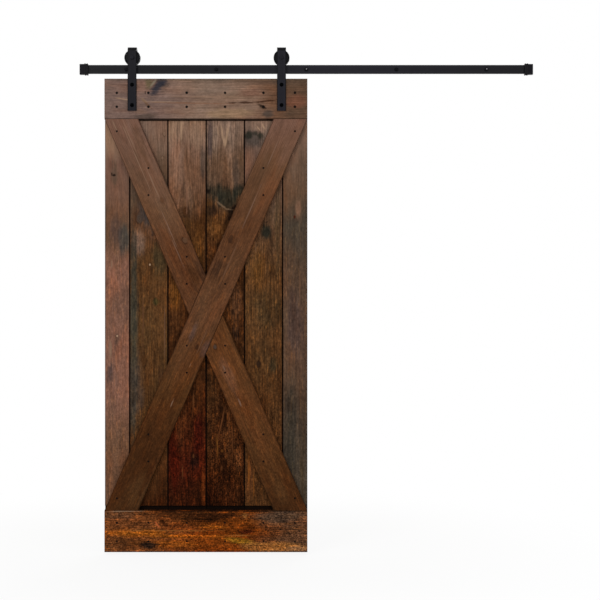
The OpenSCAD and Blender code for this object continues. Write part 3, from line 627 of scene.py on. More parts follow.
BOARDS = [
    Board(
        "top_rail", LEVEL, 1, heart=(0.42, 0.012, 0.016), spacing=0.0075, contrast=0.85,
        tones=[(0, ROSE_GREY), (250, ROSE_GREY), (420, ROSE_TAN), (620, ROSE_TAN), (740, TAN), (830, DUN),
               (914, DUN)],
        stains=[(200, 2113, 30, 22, LICHEN, 0.8, 90), (262, 2108, 36, 28, SMOKE, 0.6),
                (243, 2102, 56, 23, INK, 1.0, -48), (262, 2124, 26, 22, INK, 1.0),
                (566, 1978, 110, 24, OAT, 0.7), (620, 2060, 90, 26, SAND, 0.5),
                (656, 2071, 65, 24, RUSSET, 0.6), (863, 2027, 50, 32, TERRA, 0.6),
                (739, 1974, 26, 18, SMOKE, 0.8), (196, 1965, 55, 12, SMOKE, 0.7),
                (160, 1985, 30, 12, CLAY, 0.5), (700, 2118, 120, 16, SMOKE, 0.35),
                # The last stain darkens a band along the rail's top edge
                (500, 2130, 420, 14, GREY_NUT, 0.45)],
        scars=[(184, 2070, 9, 2.8, SOOT, 0.9, 90), (192, 2019, 28, 6, HAZEL, 0.7, 42),
               (178, 2036, 20, 7, OAT, 0.4, 42), (102, 2039, 50, 3.5, PALE, 0.5, 8),
               (256, 2029, 70, 3, PALE, 0.4), (385, 2023, 200, 3.4, BRICK, 0.7, 1),
               (640, 2026, 80, 4, NIGHT, 0.75, -1), (739, 2034, 52, 3.4, NIGHT, 0.75, -7),
               (709, 2009, 22, 7, KNOT, 0.9, 27), (219, 2112, 22, 5, SAGE, 0.7, -50),
               (470, 2052, 200, 4, SAND, 0.4)],
        ringed="top_rail_screws"),
    Board(
        "bottom_rail", LEVEL, 2, heart=(0.6, 0.01, 0.02), spacing=0.008, contrast=0.95, grit=2.1,
        tones=[(0, COPPER), (200, COPPER), (420, GINGER), (620, GINGER), (780, SADDLE), (914, SADDLE)],
        stains=[(60, 165, 100, 22, SADDLE, 0.8), (380, 168, 300, 24, BARK, 0.9),
                (500, 160, 110, 28, CHOCOLATE, 0.9), (780, 160, 150, 26, GREY_NUT, 0.7),
                (130, 86, 150, 18, TAWNY, 0.9), (193, 86, 70, 18, TAWNY, 0.9),
                (390, 72, 190, 10, TAWNY, 0.9), (610, 50, 80, 15, STRAW, 0.6, 8),
                (490, 113, 80, 7, TAWNY, 0.7), (340, 112, 110, 20, MAHOGANY, 0.7),
                (300, 36, 140, 20, TAWNY, 0.6), (645, 92, 45, 16, OXBLOOD, 0.9),
                (200, 30, 42, 20, KNOT, 0.95), (260, 138, 40, 14, NIGHT, 0.85, 50),
                (40, 30, 50, 24, RUST, 0.7), (760, 26, 160, 24, HONEY, 0.9), (870, 18, 50, 14, BUFF, 0.85),
                (633, 165, 14, 10, HONEY, 0.6, 60)],
        # The first two scars are painted light along the rail's top edge: a pale line of painted highlight
        # and a dark line of painted shade
        scars=[(90, 184.5, 110, 2.6, PALE, 0.6), (500, 184.5, 340, 4, SOOT, 0.7),
               (300, 97, 200, 3, HONEY, 0.5), (238, 124, 20, 4.5, EMBER, 0.6, 52),
               (600, 75, 60, 3, HONEY, 0.6)]),
    Board(
        "plank_1", UPRIGHT, 3, heart=(1.6, 0.03, 0.0), contrast=0.5,
        tones=[(190, TAN), (500, TAN), (720, RUSSET), (900, RUSSET), (1140, ROSE), (1280, RUSSET),
               (1400, HAZEL), (1740, ROSE), (1850, SAND), (1930, SAND)],
        stains=[(88, 1415, 70, 30, STONE, 0.7), (45, 1450, 80, 30, PLUM, 0.5),
                (45, 1700, 60, 20, SLATE, 0.45), (21, 807, 50, 18, PLUM, 0.7), (55, 960, 30, 14, SMOKE, 0.5),
                (90, 300, 120, 20, SADDLE, 0.6), (45, 1880, 100, 50, ASH, 0.6)],
        scars=[(39, 1700, 6, 10, SOOT, 0.9), (31, 1706, 7, 4, SOOT, 0.8), (55, 974, 5, 4, PALE, 0.9),
               (25, 915, 45, 6, SAND, 0.8), (30, 1300, 20, 4, SAND, 0.6), (22, 370, 30, 3, KNOT, 0.5)]),
    Board(
        "plank_2", UPRIGHT, 4, heart=(0.62, 0.006, 0.02), contrast=0.72,
        tones=[(190, CHOCOLATE), (450, UMBER), (780, NUT), (1140, NUT), (1300, NUT), (1430, SADDLE),
               (1570, GREY_NUT), (1700, HAZEL), (1930, CLAY)],
        knots=[(268, 1888, 11.2, 7, SAND, 0.6), (259, 1778, 9.6, 6, SAND, 0.5),
               (156, 1503, 22.5, 15, SMOKE, 0.7), (175, 865, 26.4, 12, UMBER, 0.6)],
        stains=[(210, 1570, 120, 60, ASHEN, 0.85), (155, 1400, 60, 30, CLAY, 0.7),
                (245, 1320, 90, 35, OLIVE, 0.9), (128, 950, 500, 22, SLATE, 0.9),
                (140, 740, 160, 40, SMOKE, 0.55), (228, 1127, 20, 20, MOSS, 0.8),
                (260, 750, 70, 20, SADDLE, 0.6), (130, 1750, 200, 20, SMOKE, 0.4)],
        scars=[(203, 1296, 5, 4, PALE, 0.8), (210, 1700, 120, 5, SAND, 0.4),
               (172, 1050, 160, 3.5, SADDLE, 0.7), (270, 980, 140, 3, TAN, 0.6)]),
    Board(
        "plank_3", UPRIGHT, 5, heart=(0.4, 0.008, 0.03), spacing=0.0065, grit=1.5,
        tones=[(190, NIGHT), (400, OXBLOOD), (700, CHOCOLATE), (950, BARK), (1140, BARK), (1350, UMBER),
               (1470, UMBER), (1600, TAN), (1730, TAN), (1850, CLAY), (1930, SAND)],
        knots=[(363, 1537, 23.4, 13, BARK, 0.7)],
        stains=[(410, 1870, 50, 40, SAND, 0.6), (444, 1760, 70, 14, SMOKE, 0.7),
                (420, 1370, 100, 30, AMBER, 0.3), (315, 1154, 80, 28, AMBER, 0.55),
                (315, 400, 150, 22, CLARET, 0.35), (420, 520, 110, 26, WINE, 0.9),
                (340, 608, 140, 30, RUST, 0.3), (405, 402, 50, 30, SOOT, 0.8),
                (417, 286, 60, 30, NIGHT, 0.7), (370, 240, 80, 70, NIGHT, 0.5),
                (445, 300, 120, 10, MAHOGANY, 0.6), (330, 1740, 100, 30, CLAY, 0.5)],
        scars=[(345, 1906, 50, 5, PALE, 0.5), (305, 1900, 50, 3, PALE, 0.3), (399, 676, 40, 3, RUST, 0.8),
               (370, 1600, 80, 4, BRICK, 0.7), (400, 430, 10, 4, RUST, 0.6), (350, 360, 30, 3, RUST, 0.7)]),
    Board(
        "plank_4", UPRIGHT, 6, heart=(0.49, 0.006, -0.03), spacing=0.0065, contrast=1.3, grit=1.75,
        tones=[(190, NIGHT), (350, CHOCOLATE), (700, BARK), (1000, BARK), (1200, BARK), (1420, BARK),
               (1500, UMBER), (1550, UMBER), (1660, DUN), (1770, HAZEL), (1930, ROSE_TAN)],
        knots=[(530, 454, 9, 6, AMBER, 0.5), (527, 376, 13.2, 6, RUST, 0.5)],
        stains=[(510, 1622, 40, 80, PITCH, 0.75, 12), (560, 1592, 58, 75, PITCH, 0.9),
                (530, 1530, 30, 35, NUT, 0.4), (465, 1627, 16, 16, SOOT, 0.9),
                (484, 1540, 30, 28, KNOT, 0.7), (602, 1630, 32, 36, PITCH, 0.85),
                (569, 1520, 35, 22, SOOT, 0.8), (503, 1456, 50, 40, AMBER, 0.2),
                (590, 1140, 110, 30, SADDLE, 0.6), (588, 990, 50, 20, KNOT, 0.6),
                (602, 412, 70, 20, RUST, 0.6), (539, 275, 80, 85, NIGHT, 0.6),
                (475, 1840, 120, 14, PLUM, 0.7), (590, 1720, 80, 20, SMOKE, 0.5)],
        scars=[(530, 1890, 50, 6, PALE, 0.5, -9), (552, 1890, 50, 6, PALE, 0.5, 8),
               (541, 1850, 26, 6, PALE, 0.5), (510, 1900, 30, 4, PALE, 0.35, -6),
               (522, 1568, 30, 5, OAT, 0.4, 128), (560, 1546, 18, 4, OAT, 0.35, 95),
               (598, 1564, 38, 8, SOOT, 0.8, 58), (606, 1582, 18, 3, OAT, 0.4, 40),
               (524, 569, 85, 4, RUST, 0.8, 12), (508, 470, 60, 3, AMBER, 0.7, -3),
               (560, 600, 100, 3, RUST, 0.7), (575, 500, 80, 3, RUST, 0.6), (534, 1415, 14, 3, PALE, 0.5)]),
    Board(
        "plank_5", UPRIGHT, 7, heart=(0.65, 0.01, 0.022), contrast=0.9, grit=1.5,
        tones=[(190, UMBER), (400, UMBER), (690, UMBER), (1000, NUT), (1270, NUT), (1540, HAZEL),
               (1770, ROSE), (1930, ROSE_TAN)],
        knots=[(694, 847, 14.4, 9, KNOT, 0.8)],
        stains=[(676, 1862, 45, 60, SMOKE, 0.85), (650, 1881, 18, 22, PITCH, 0.85),
                (703, 1880, 20, 20, PITCH, 0.85, 45), (681, 1890, 14, 14, PITCH, 0.7),
                (660, 1760, 70, 35, BRICK, 0.6), (727, 1442, 36, 24, PITCH, 0.95),
                (690, 1280, 120, 35, AMBER, 0.4), (724, 1100, 100, 70, OLIVE, 0.6),
                (760, 841, 35, 18, OLIVE, 0.8), (654, 343, 130, 20, RUST, 0.6),
                (780, 1500, 300, 14, OLIVE, 0.5)],
        scars=[(716, 1920, 18, 5, PALE, 0.6, -30), (693, 1912, 16, 3, PALE, 0.5, -40),
               (731, 1488, 8, 4, KNOT, 0.8, 60), (650, 360, 80, 3, GOLD, 0.6),
               (672, 300, 60, 3, GOLD, 0.5)]),
    Board(
        "plank_6", UPRIGHT, 8, heart=(-0.5, 0.03, 0.0), contrast=0.55,
        tones=[(190, DUSK), (500, DUSK), (870, DUN), (1230, DUN), (1490, DUSK), (1650, HAZEL), (1770, TAUPE),
               (1930, CLAY)],
        stains=[(895, 1757, 40, 12, GREY_NUT, 0.5), (872, 1550, 50, 14, BRICK, 0.7),
                (860, 1000, 200, 40, PLUM, 0.5), (840, 500, 280, 24, GREY_SLATE, 0.7),
                (836, 654, 30, 14, KNOT, 0.5), (890, 350, 120, 18, OLIVE, 0.5)],
        scars=[(857, 1512, 7, 5, OXBLOOD, 0.9), (880, 1200, 100, 3, TAN, 0.5)]),
    Board(
        "brace_upper", -LEAN, 9, heart=(-0.4, 0.02, 0.012), spacing=0.007, contrast=0.5,
        tones=[(1100, COCOA), (1300, COCOA), (1550, SEPIA), (1950, ROSE)],
        knots=[(97, 1866, 14.3, 11, ROSE, 0.5), (259, 1586, 15, 10, SADDLE, 0.5),
               (363, 1406, 14.4, 12, HAZEL, 0.7)],
        stains=[(431, 1266, 60, 22, KNOT, 0.45), (160, 1830, 120, 30, SADDLE, 0.5),
                (400, 1250, 50, 30, BARK, 0.5)],
        scars=[(46, 1922, 30, 3, SAND, 0.6), (116, 1866, 90, 3, SAND, 0.5), (103, 1872, 60, 2.5, SAND, 0.5),
               (160, 1740, 100, 3, SAND, 0.5), (220, 1660, 80, 3.5, SAND, 0.5),
               (290, 1460, 100, 3, CLAY, 0.6), (330, 1350, 90, 3, CLAY, 0.5)]),
    Board(
        "brace_lower", -LEAN, 10, heart=(1.3, 0.02, 0.012), spacing=0.007, contrast=0.55,
        tones=[(190, BARK), (400, UMBER), (700, FAWN), (950, FAWN)],
        knots=[(498, 925, 11.7, 9, SMOKE, 0.8)],
        stains=[(787, 280, 70, 35, NUT, 0.6), (560, 800, 100, 30, BRICK, 0.35),
                (700, 500, 120, 25, RUST, 0.4)],
        scars=[(539, 829, 15, 3, CLAY, 0.7), (611, 672, 20, 4, CLAY, 0.7), (640, 550, 80, 3, RUST, 0.7)]),
    Board(
        "brace_long", LEAN, 11, heart=(0.3, 0.015, 0.01), spacing=0.0065, contrast=0.5,
        tones=[(190, BARK), (500, BARK), (750, UMBER), (1070, SADDLE), (1500, COCOA), (1750, SEPIA),
               (1950, ROSE)],
        knots=[(570, 1411, 18, 12, KNOT, 0.6), (417, 924, 10, 5, KNOT, 0.6)],
        stains=[(150, 280, 90, 50, NUT, 0.6), (503, 1271, 50, 18, KNOT, 0.5), (400, 990, 50, 14, PLUM, 0.5),
                (455, 920, 50, 20, PLUM, 0.5), (200, 350, 100, 14, CHOCOLATE, 0.5)],
        scars=[(305, 672, 18, 3, SAND, 0.6), (386, 841, 15, 3, SAND, 0.6), (440, 950, 70, 3, TAN, 0.6),
               (560, 1300, 120, 3, TAN, 0.6), (660, 1550, 120, 3, CLAY, 0.5),
               (760, 1800, 80, 3, CLAY, 0.5)]),
]


# Steel, nylon and rubber

# How far in a bar's painted edge shade and the painted highlight bands beside it begin and are full
EDGE_SHADE_REACH = (0.0055, 0.002)
EDGE_HIGHLIGHT_REACH = (0.013, 0.009)

# How far the painted shade on a strap's bend fades in, and how far off the track's lightest place its coat
# begins to darken and is darkest
BEND_SHADE_FADE = 0.008
DARKENING_REACH = (0.05, 0.85)

# A painted highlight on a lag head: how far it reaches, how ragged it is and how far off a head's middle it
# lies
GLINT_REACH = 0.0034
GLINT_RAGGED = 0.002
GLINT_OFFSET = 0.001
GLINT_GREY = tint(150, 148, 152)


def edged(node, axis):
    """The axis, middle and half width of a bar that is as wide as the node along the axis."""
    low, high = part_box(node)
    return axis, (low[axis] + high[axis]) / 2, (high[axis] - low[axis]) / 2


def edge_shade_and_highlight(g, shade, place, bar):
    """Paints shade along a bar's edges, deeper black, and a painted highlight band beside them."""
    axis, middle, half = bar
    aside = g.math("ABSOLUTE", g.split(place)[axis] - middle)
    shaded_edge = g.share(aside, half - EDGE_SHADE_REACH[0], half - EDGE_SHADE_REACH[1])
    highlight_band = g.share(aside, half - EDGE_HIGHLIGHT_REACH[0], half - EDGE_HIGHLIGHT_REACH[1]) * (1 - shaded_edge)
    shade = g.toned(shade, highlight_band * 0.5, EDGE_HIGHLIGHT)
    return g.toned(shade, shaded_edge * 0.85, EDGE_SHADE)


def painted_glints(g, shade, place, cloud, spots):
    """Painted highlights: pale grey at spots that are given by their x and z."""
    on_wall = g.vector_math("MULTIPLY", place, (1, 0, 1))
    for x, z in spots:
        away = g.vector_math("DISTANCE", on_wall, (x, 0, z), output="Value")
        away = away + (cloud - 0.5) * GLINT_RAGGED
        shade = g.mix(g.share(away, GLINT_REACH, GLINT_REACH / 2) * 0.9, shade, GLINT_GREY)
    return shade


def coated(name, colour, specular, roughness=0.42, bar=None, shaded_from=None, glints=(),
           lightest_at=None):
    """Black powder coat: a fine orange peel, with dust and slightly rubbed places. A bar gets painted
    shade along its edges and a painted highlight band beside them. Above a given height the coat is
    darker, as painted shade. Listed spots each get a painted highlight. The coat can be lightest at
    a given x and darker towards both sides."""
    material = bpy.data.materials.new(name)
    g = Graph(material)
    place = g.place()
    peel = g.noise(place, scale=900, detail=1)
    grain = g.noise(place, scale=2600, detail=0)
    cloud = g.noise(place, scale=16, detail=3, roughness=0.6)
    rubbed = g.share(g.noise(place, scale=60, detail=3, roughness=0.7), 0.6, 0.75)
    shade = g.shaded(colour, 0.85 + cloud * 0.3 + grain * 0.1)
    shade = g.toned(shade, rubbed * 0.35, RUBBED)
    # Painted shade along the bar's edges and a painted highlight band beside them
    if bar:
        shade = edge_shade_and_highlight(g, shade, place, bar)
    # Painted shade on the strap's bend over the wheel
    if shaded_from is not None:
        bend_shade = g.share(g.split(place)[2], shaded_from, shaded_from + BEND_SHADE_FADE)
        shade = g.toned(shade, bend_shade, BEND_SHADE)
    # Darker towards both sides of the lightest place
    if lightest_at is not None:
        away = g.math("ABSOLUTE", g.split(place)[0] - lightest_at)
        shade = g.toned(shade, g.share(away, *DARKENING_REACH, "LINEAR"), ENDS_DARKER)
    # Painted highlights at the listed spots
    if glints:
        shade = painted_glints(g, shade, place, cloud, glints)
    gloss = cloud * 0.16 + (roughness - 0.08) - rubbed * 0.06
    g.finish(shade, gloss, specular, g.bump(peel + grain * 0.3, COAT_RELIEF, 0.25))
    return material


def moulded(name, colour, roughness, specular, texture_scale, relief):
    """Nylon or rubber with a mould's fine texture."""
    material = bpy.data.materials.new(name)
    g = Graph(material)
    place = g.place()
    texture = g.noise(place, scale=texture_scale, detail=2, roughness=0.7)
    dust = g.share(g.noise(place, scale=24, detail=4, roughness=0.65), 0.5, 0.75)
    shade = g.toned(g.shaded(colour, 0.9 + texture * 0.2), dust * 0.5, MOULD_DUST)
    g.finish(shade, dust * 0.15 + roughness, specular, g.bump(texture, relief, 0.4))
    return material


def bright(name, colour, roughness):
    """Bare steel with fine turning marks and a few dull spots."""
    material = bpy.data.materials.new(name)
    g = Graph(material)
    place = g.place()
    x, y, z = g.split(place)
    marks = g.noise(g.join(x * 30, y * 2400, z * 30), detail=2)
    dull = g.share(g.noise(place, scale=180, detail=3), 0.45, 0.7)
    shade = g.toned(g.shaded(colour, 0.85 + marks * 0.3), dull * 0.5, DULLED)
    gloss = dull * 0.16 + marks * 0.1 + roughness
    g.finish(shade, gloss, 0.5, g.bump(marks, TURNING_RELIEF, 0.2), metallic=1.0)
    return material


def glinting_heads():
    """A painted highlight near the middle of the heads of the middle and the right-hand lag bolts."""
    heads = [(low + high) / 2 for low, high in islands("lag_bolts")]
    return [(heads[i].x + GLINT_OFFSET, heads[i].z + GLINT_OFFSET) for i in (2, 4)]


# Where the straps begin to bend over the wheels, above which painted shade makes them deeper black
BEND_HEIGHT = 0.021
BEND_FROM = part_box("strap_left")[1].z - BEND_HEIGHT
# The left strap gets a darker tint than the right one: painted shade on one of two like straps
STRAP_TINTS = {"left": tint(18, 17, 22), "right": tint(25, 24, 30)}

# Where along the track the coat is lightest; it is darker towards both ends
TRACK_LIGHTEST = 0.17

TRACK_BLACK = coated("track_black", tint(24, 23, 30), 0.12, bar=edged("track_bar", 2),
                     lightest_at=TRACK_LIGHTEST)
STRAP_BLACK = {
    side: coated("strap_black_" + side, colour, 0.09, bar=edged("strap_" + side, 0),
                 shaded_from=BEND_FROM)
    for side, colour in STRAP_TINTS.items()
}
CAP_BLACK = coated("cap_black", tint(16, 15, 20), 0.06)
AXLE_BLACK = coated("axle_black", tint(21, 20, 26), 0.09)
BOLT_BLACK = coated("bolt_black", tint(2, 2, 3), 0.01, roughness=0.4)
SCREW_BLACK = coated("screw_black", tint(7, 6, 6), 0.05, roughness=0.45)
# The lag bolts' coat, with a painted highlight on two heads
LAG_BLACK = coated("lag_black", tint(12, 11, 15), 0.05, glints=glinting_heads())
NYLON = moulded("nylon", tint(12, 12, 16), 0.36, 0.1, texture_scale=700, relief=0.00008)
RUBBER = moulded("rubber", tint(19, 18, 21), 0.6, 0.1, texture_scale=1400, relief=0.00015)
BEARING_STEEL = bright("bearing_steel", tint(196, 197, 200), 0.2)
BUSH_STEEL = bright("bush_steel", tint(168, 168, 172), 0.32)


# Fasteners

# A thread's ridge: half its width in pitches, the turns it takes to rise, and how far its
# foot is sunk, as a share of its height
RIDGE_HALF = 0.46
RIDGE_TURNS = 0.75
RIDGE_SUNK = 0.2

# A hexagon head's round face: its radius by the width across flats, a ring within it by that
# radius, and the slope of the corners beside it
FACE_SHARE = 0.48
INNER_SHARE = 0.9
CORNER_SLOPE = math.tan(math.radians(30))

# How long a shank takes to go down to its thread's root, the radius of a bolt's end by its
# root's, and the radius of a point
RUN_OUT = 0.001
END_SHARE = 0.85
POINT = 0.0002

# Edges that bend more than this aren't smoothed
SHARP_FROM = math.radians(35)


def turned(bm, middle, rings, angles):
    """A closed body round a line along +Y. A ring is (y, radius), each a number or a function
    of the angle, and fans close the first and the last ring."""
    def value(given, angle):
        return given(angle) if callable(given) else given

    def corner(ring, angle):
        radius = value(ring[1], angle)
        return bm.verts.new((middle.x + radius * math.cos(angle), value(ring[0], angle),
                             middle.z + radius * math.sin(angle)))

    loops = [[corner(ring, angle) for angle in angles] for ring in rings]
    pairs = [(i, (i + 1) % len(angles)) for i in range(len(angles))]
    for near, far in zip(loops, loops[1:]):
        for i, j in pairs:
            bm.faces.new((near[i], near[j], far[j], far[i]))
    for loop in (loops[0], loops[-1]):
        centre = bm.verts.new(sum((v.co for v in loop), Vector()) / len(loop))
        for i, j in pairs:
            bm.faces.new((loop[i], loop[j], centre))


def evenly(sides):
    return [math.tau * i / sides for i in range(sides)]


def thread(bm, middle, start, end, core, crest, pitch, sides=20):
    """A ridge wound round the core from start to end, fading out at both."""
    steps = int((end - start - pitch) / pitch * sides)
    fade_steps = sides * RIDGE_TURNS
    sunk = (core - crest) * RIDGE_SUNK
    rows = []
    for k in range(steps + 1):
        angle = math.tau * k / sides
        y = start + pitch / 2 + pitch * k / sides
        rise = (crest - core) * min(1, k / fade_steps, (steps - k) / fade_steps)
        rows.append([
            bm.verts.new((middle.x + (core + up) * math.cos(angle), y + side * pitch,
                          middle.z + (core + up) * math.sin(angle)))
            for side, up in ((-RIDGE_HALF, sunk), (0, rise), (RIDGE_HALF, sunk))
        ])
    for near, far in zip(rows, rows[1:]):
        for i, j in ((0, 1), (1, 2), (2, 0)):
            bm.faces.new((near[i], near[j], far[j], far[i]))
    bm.faces.new(rows[0])
    bm.faces.new(rows[-1])


def fitting(name, bm, material, body, replaced):
    """Makes the mesh a piece that rides on the body and stands for the replaced node."""
    bmesh.ops.recalc_face_normals(bm, faces=bm.faces)
    mesh = bpy.data.meshes.new(name)
    bm.to_mesh(mesh)
    bm.free()
    mesh.materials.append(material)
    mesh.shade_smooth()
    mesh.set_sharp_from_angle(angle=SHARP_FROM)
    piece = bpy.data.objects.new(name, mesh)
    bpy.context.collection.objects.link(piece)
    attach(piece, body)
    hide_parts(replaced)


def hexagon(across_flats):
    """The radius of a hexagon at each angle, with corners to the left and right."""
    def radius(angle):
        turn = angle % math.radians(60) - math.radians(30)
        return across_flats / 2 / math.cos(turn)
    return radius


def cross(arm, half):
    """The radius at each angle of a cross, from the length and half the width of its arms.
    Where the two are the same it is a square."""
    def radius(angle):
        aside = max(abs(math.cos(angle)), 1e-6)
        up = max(abs(math.sin(angle)), 1e-6)
        return max(min(arm / aside, half / up), min(arm / up, half / aside))
    return radius


def hex_head(face, seat, across_flats, shank):
    """Rings of a bolt's head from its face to its seat, with the corners turned off."""
    corner = hexagon(across_flats)
    flat = across_flats * FACE_SHARE
    return [
        (face, flat * INNER_SHARE), (face, flat),
        (lambda angle: face + (corner(angle) - flat) * CORNER_SLOPE, corner), (seat, corner),
        (seat, shank),
    ]


def wood_screws(node):
    """Sunk black screws with a cross recess."""
    bm = bmesh.new()
    arm, half, recess = 0.0019, 0.00045, 0.0016
    shank, core, tip = 0.002, 0.0014, 0.004
    plain, pitch = 0.009, 0.0018
    rim = 0.04
    turn = math.atan2(half, arm)
    corners = [math.tau * quarter / 4 + side for quarter in range(4)
               for side in (-turn, turn, math.pi / 4)]
    angles = sorted({round(angle % math.tau, 6) for angle in corners + evenly(16)})
    for low, high in islands(node):
        middle = (low + high) / 2
        head = (high.x - low.x) / 2
        face = low.y
        plain_end = face + plain
        turned(bm, middle, [
            (face + recess, cross(arm * 0.5, half * 0.6)), (face, cross(arm, half)),
            (face, head * (1 - rim)), (face + head * rim, head), (face + head - shank, shank),
            (plain_end, shank), (plain_end + RUN_OUT / 2, core), (high.y - tip, core),
            (high.y, POINT),
        ], angles)
        thread(bm, middle, plain_end, high.y - tip / 2, core, shank, pitch, sides=12)
    fitting(node + "_cross", bm, SCREW_BLACK, "door", node)


def lag_bolts():
    """Hexagonal coach screws through the track into the wall."""
    bm = bmesh.new()
    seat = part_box("lag_washers")[0].y
    shank, root, crest, tip = 0.004, 0.0029, 0.0038, 0.008
    plain_end, pitch, blunt = 0.008, 0.0034, 0.0005
    for low, high in islands("lag_bolts"):
        middle = (low + high) / 2
        turned(bm, middle, hex_head(low.y, seat, high.z - low.z, shank) + [
            (plain_end, shank), (plain_end + RUN_OUT, root), (high.y - tip, root),
            (high.y, blunt),
        ], evenly(48))
        thread(bm, middle, plain_end, high.y - tip / 2, root, crest, pitch)
    fitting("lag_bolts_threaded", bm, LAG_BLACK, "track", "lag_bolts")


def strap_bolts(side):
    """Carriage bolts: a domed head, a square neck and a thread at the nut."""
    bm = bmesh.new()
    node = "strap_bolts_" + side
    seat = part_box("strap_" + side)[0].y
    shank, root, neck, pitch = 0.004, 0.00335, 0.004, 0.00125
    chamfer = 0.0006
    dome_steps = 8
    for low, high in islands(node):
        head = (high.x - low.x) / 2
        dome = seat - low.y
        ball = (head * head + dome * dome) / (2 * dome)
        lean = math.asin(head / ball)
        rings = [(low.y + ball - ball * math.cos(lean * i / dome_steps),
                  max(POINT, ball * math.sin(lean * i / dome_steps)))
                 for i in range(dome_steps + 1)]
        rings += [(seat, cross(neck, neck)), (seat + neck, cross(neck, neck)),
                  (seat + neck, shank), (PLANK_FRONT, shank), (PLANK_FRONT + RUN_OUT, root),
                  (high.y - chamfer, root), (high.y, root * END_SHARE)]
        middle = (low + high) / 2
        turned(bm, middle, rings, evenly(32))
        thread(bm, middle, PLANK_FRONT, high.y, root, shank, pitch)
    fitting(node + "_threaded", bm, BOLT_BLACK, "door", node)


def axle_bolt(side):
    """The bolt that the wheel turns on, threaded where it leaves the strap."""
    bm = bmesh.new()
    node = "axle_bolt_" + side
    low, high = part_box(node)
    middle = (low + high) / 2
    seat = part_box("strap_" + side)[0].y
    thread_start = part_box("axle_washer_" + side)[0].y - 0.004
    shank, root, pitch, chamfer = 0.005, 0.0042, 0.0015, 0.0008
    turned(bm, middle, hex_head(low.y, seat, high.z - low.z, shank) + [
        (thread_start, shank), (thread_start + RUN_OUT, root), (high.y - chamfer, root),
        (high.y, root * END_SHARE),
    ], evenly(48))
    thread(bm, middle, thread_start, high.y, root, shank, pitch)
    fitting(node + "_threaded", bm, AXLE_BLACK, "door", node)


# Dressing

def dress(material, *names):
    """Gives CAD nodes that material alone."""
    for name in names:
        slots = nodes[name].data.materials
        slots.clear()
        slots.append(material)


for board in BOARDS:
    dress(wood(board), board.node)
for node in ("top_rail_screws", "bottom_rail_screws", "brace_screws"):
    wood_screws(node)
lag_bolts()
dress(TRACK_BLACK, "track_bar")
dress(CAP_BLACK, "lag_washers", *(f"track_spacer_{i}" for i in range(1, 6)))
for side in ("left", "right"):
    strap_bolts(side)
    axle_bolt(side)
    dress(CAP_BLACK, "stop_cap_" + side)
    dress(STRAP_BLACK[side], "strap_" + side)
    dress(RUBBER, "stop_bumper_" + side)
    dress(NYLON, "wheel_" + side)
    dress(BEARING_STEEL, *(f"bearing_{piece}_{side}" for piece in ("inner", "outer", "balls")))
    dress(BUSH_STEEL, "axle_bushes_" + side)
    dress(BOLT_BLACK, *(f"{piece}_{side}" for piece in (
        "stop_set_screws", "axle_washer", "axle_nut", "strap_washers", "strap_nuts")))


# Floor, light and camera

# The floor: how far below the door and how wide it is, how white it is seen near the door,
# and how far off it begins to be whiter and is wholly white
FLOOR_GAP = 0.012
FLOOR_REACH = 7.0
FLOOR_WHITE = 0.88
WHITER_FROM = 0.7
WHITE_FROM = 2.2

# How much light the world gives
SKY_STRENGTH = 0.62

# The camera: its place, its distance from the top rail, and how wide the picture is there
CAMERA_X = -0.0284
CAMERA_Z = -1.0408
CAMERA_AWAY = 6.0
PICTURE_WIDTH = 2.703
SENSOR = 36.0


def seen_rays(g):
    """1 where the camera, a reflection or a glass looks, and 0 where light is gathered."""
    path = g.tree.nodes.new("ShaderNodeLightPath")
    kinds = [Wire(g, path.outputs[f"Is {kind} Ray"]) for kind in ("Camera", "Glossy", "Transmission")]
    return g.math("MAXIMUM", g.math("MAXIMUM", kinds[0], kinds[1]), kinds[2])


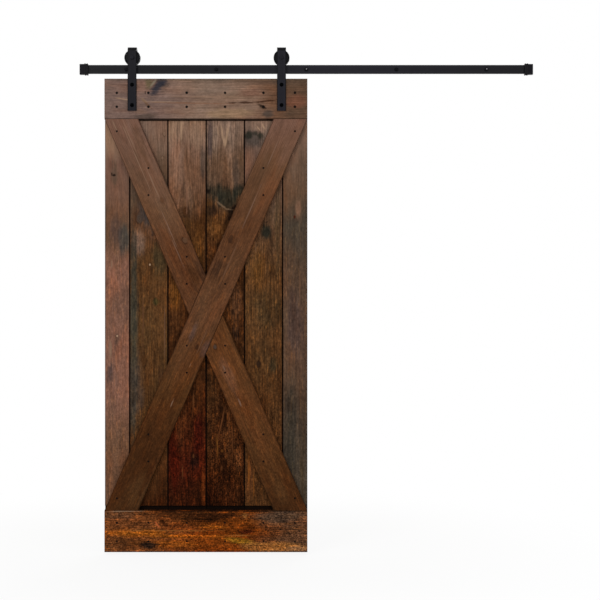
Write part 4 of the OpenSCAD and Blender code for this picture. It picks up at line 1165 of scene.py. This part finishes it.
def floor():
    """A floor that looks white, and wholly so far from the door, with a faint shadow."""
    level = cad_box[0].z - FLOOR_GAP
    mesh = bpy.data.meshes.new("floor")
    reach = FLOOR_REACH
    corners = [(-reach, -reach, level), (reach, -reach, level), (reach, reach, level),
               (-reach, reach, level)]
    mesh.from_pydata(corners, [], [(0, 1, 2, 3)])
    material = bpy.data.materials.new("floor")
    g = Graph(material)
    x, y = g.split(g.place())[:2]
    aside = x - DOOR_MIDDLE.x
    away = g.math("SQRT", aside * aside + y * y)
    whiteness = FLOOR_WHITE + g.share(away, WHITER_FROM, WHITE_FROM) * (1 - FLOOR_WHITE)
    lit = g.make("ShaderNodeBsdfDiffuse", {"Color": tint(236, 236, 234)})
    white = g.make("ShaderNodeEmission", {"Color": WHITE, "Strength": 1.0})
    blended = g.make("ShaderNodeMixShader", {0: seen_rays(g) * whiteness, 1: lit, 2: white})
    end = g.tree.nodes.new("ShaderNodeOutputMaterial")
    g.link(blended, end.inputs[0])
    mesh.materials.append(material)
    ground = bpy.data.objects.new("floor", mesh)
    bpy.context.collection.objects.link(ground)


def world():
    """White where it is seen, directly or in a reflection, and softer as a light."""
    studio = bpy.data.worlds.new("studio")
    bpy.context.scene.world = studio
    g = Graph(studio)
    soft = g.make("ShaderNodeBackground", {"Color": WHITE, "Strength": SKY_STRENGTH})
    white = g.make("ShaderNodeBackground", {"Color": WHITE, "Strength": 1.0})
    blended = g.make("ShaderNodeMixShader", {0: seen_rays(g), 1: soft, 2: white})
    end = g.tree.nodes.new("ShaderNodeOutputWorld")
    g.link(blended, end.inputs[0])


def lamp(name, place, size, power):
    """A square soft light that looks at the door's middle."""
    light = bpy.data.lights.new(name, "AREA")
    light.size = size
    light.energy = power
    holder = bpy.data.objects.new(name, light)
    holder.location = place
    holder.rotation_euler = (DOOR_MIDDLE - Vector(place)).to_track_quat("-Z", "Y").to_euler()
    bpy.context.collection.objects.link(holder)


def camera():
    """Stands level before the door and frames it as the photo does."""
    data = bpy.data.cameras.new("camera")
    data.sensor_width = SENSOR
    data.lens = SENSOR * CAMERA_AWAY / PICTURE_WIDTH
    holder = bpy.data.objects.new("camera", data)
    holder.location = (CAMERA_X, rail_low.y - CAMERA_AWAY, CAMERA_Z)
    holder.rotation_euler = (math.radians(90), 0, 0)
    bpy.context.collection.objects.link(holder)
    bpy.context.scene.camera = holder


floor()
world()
lamp("key", (-3.2, -5.0, 2.2), size=2.5, power=125)
lamp("fill", (3.5, -5.0, 0.4), size=3.0, power=60)
lamp("back", (1.0, 5.0, 1.5), size=3.0, power=90)
camera()
bpy.context.scene.view_settings.view_transform = "Standard"
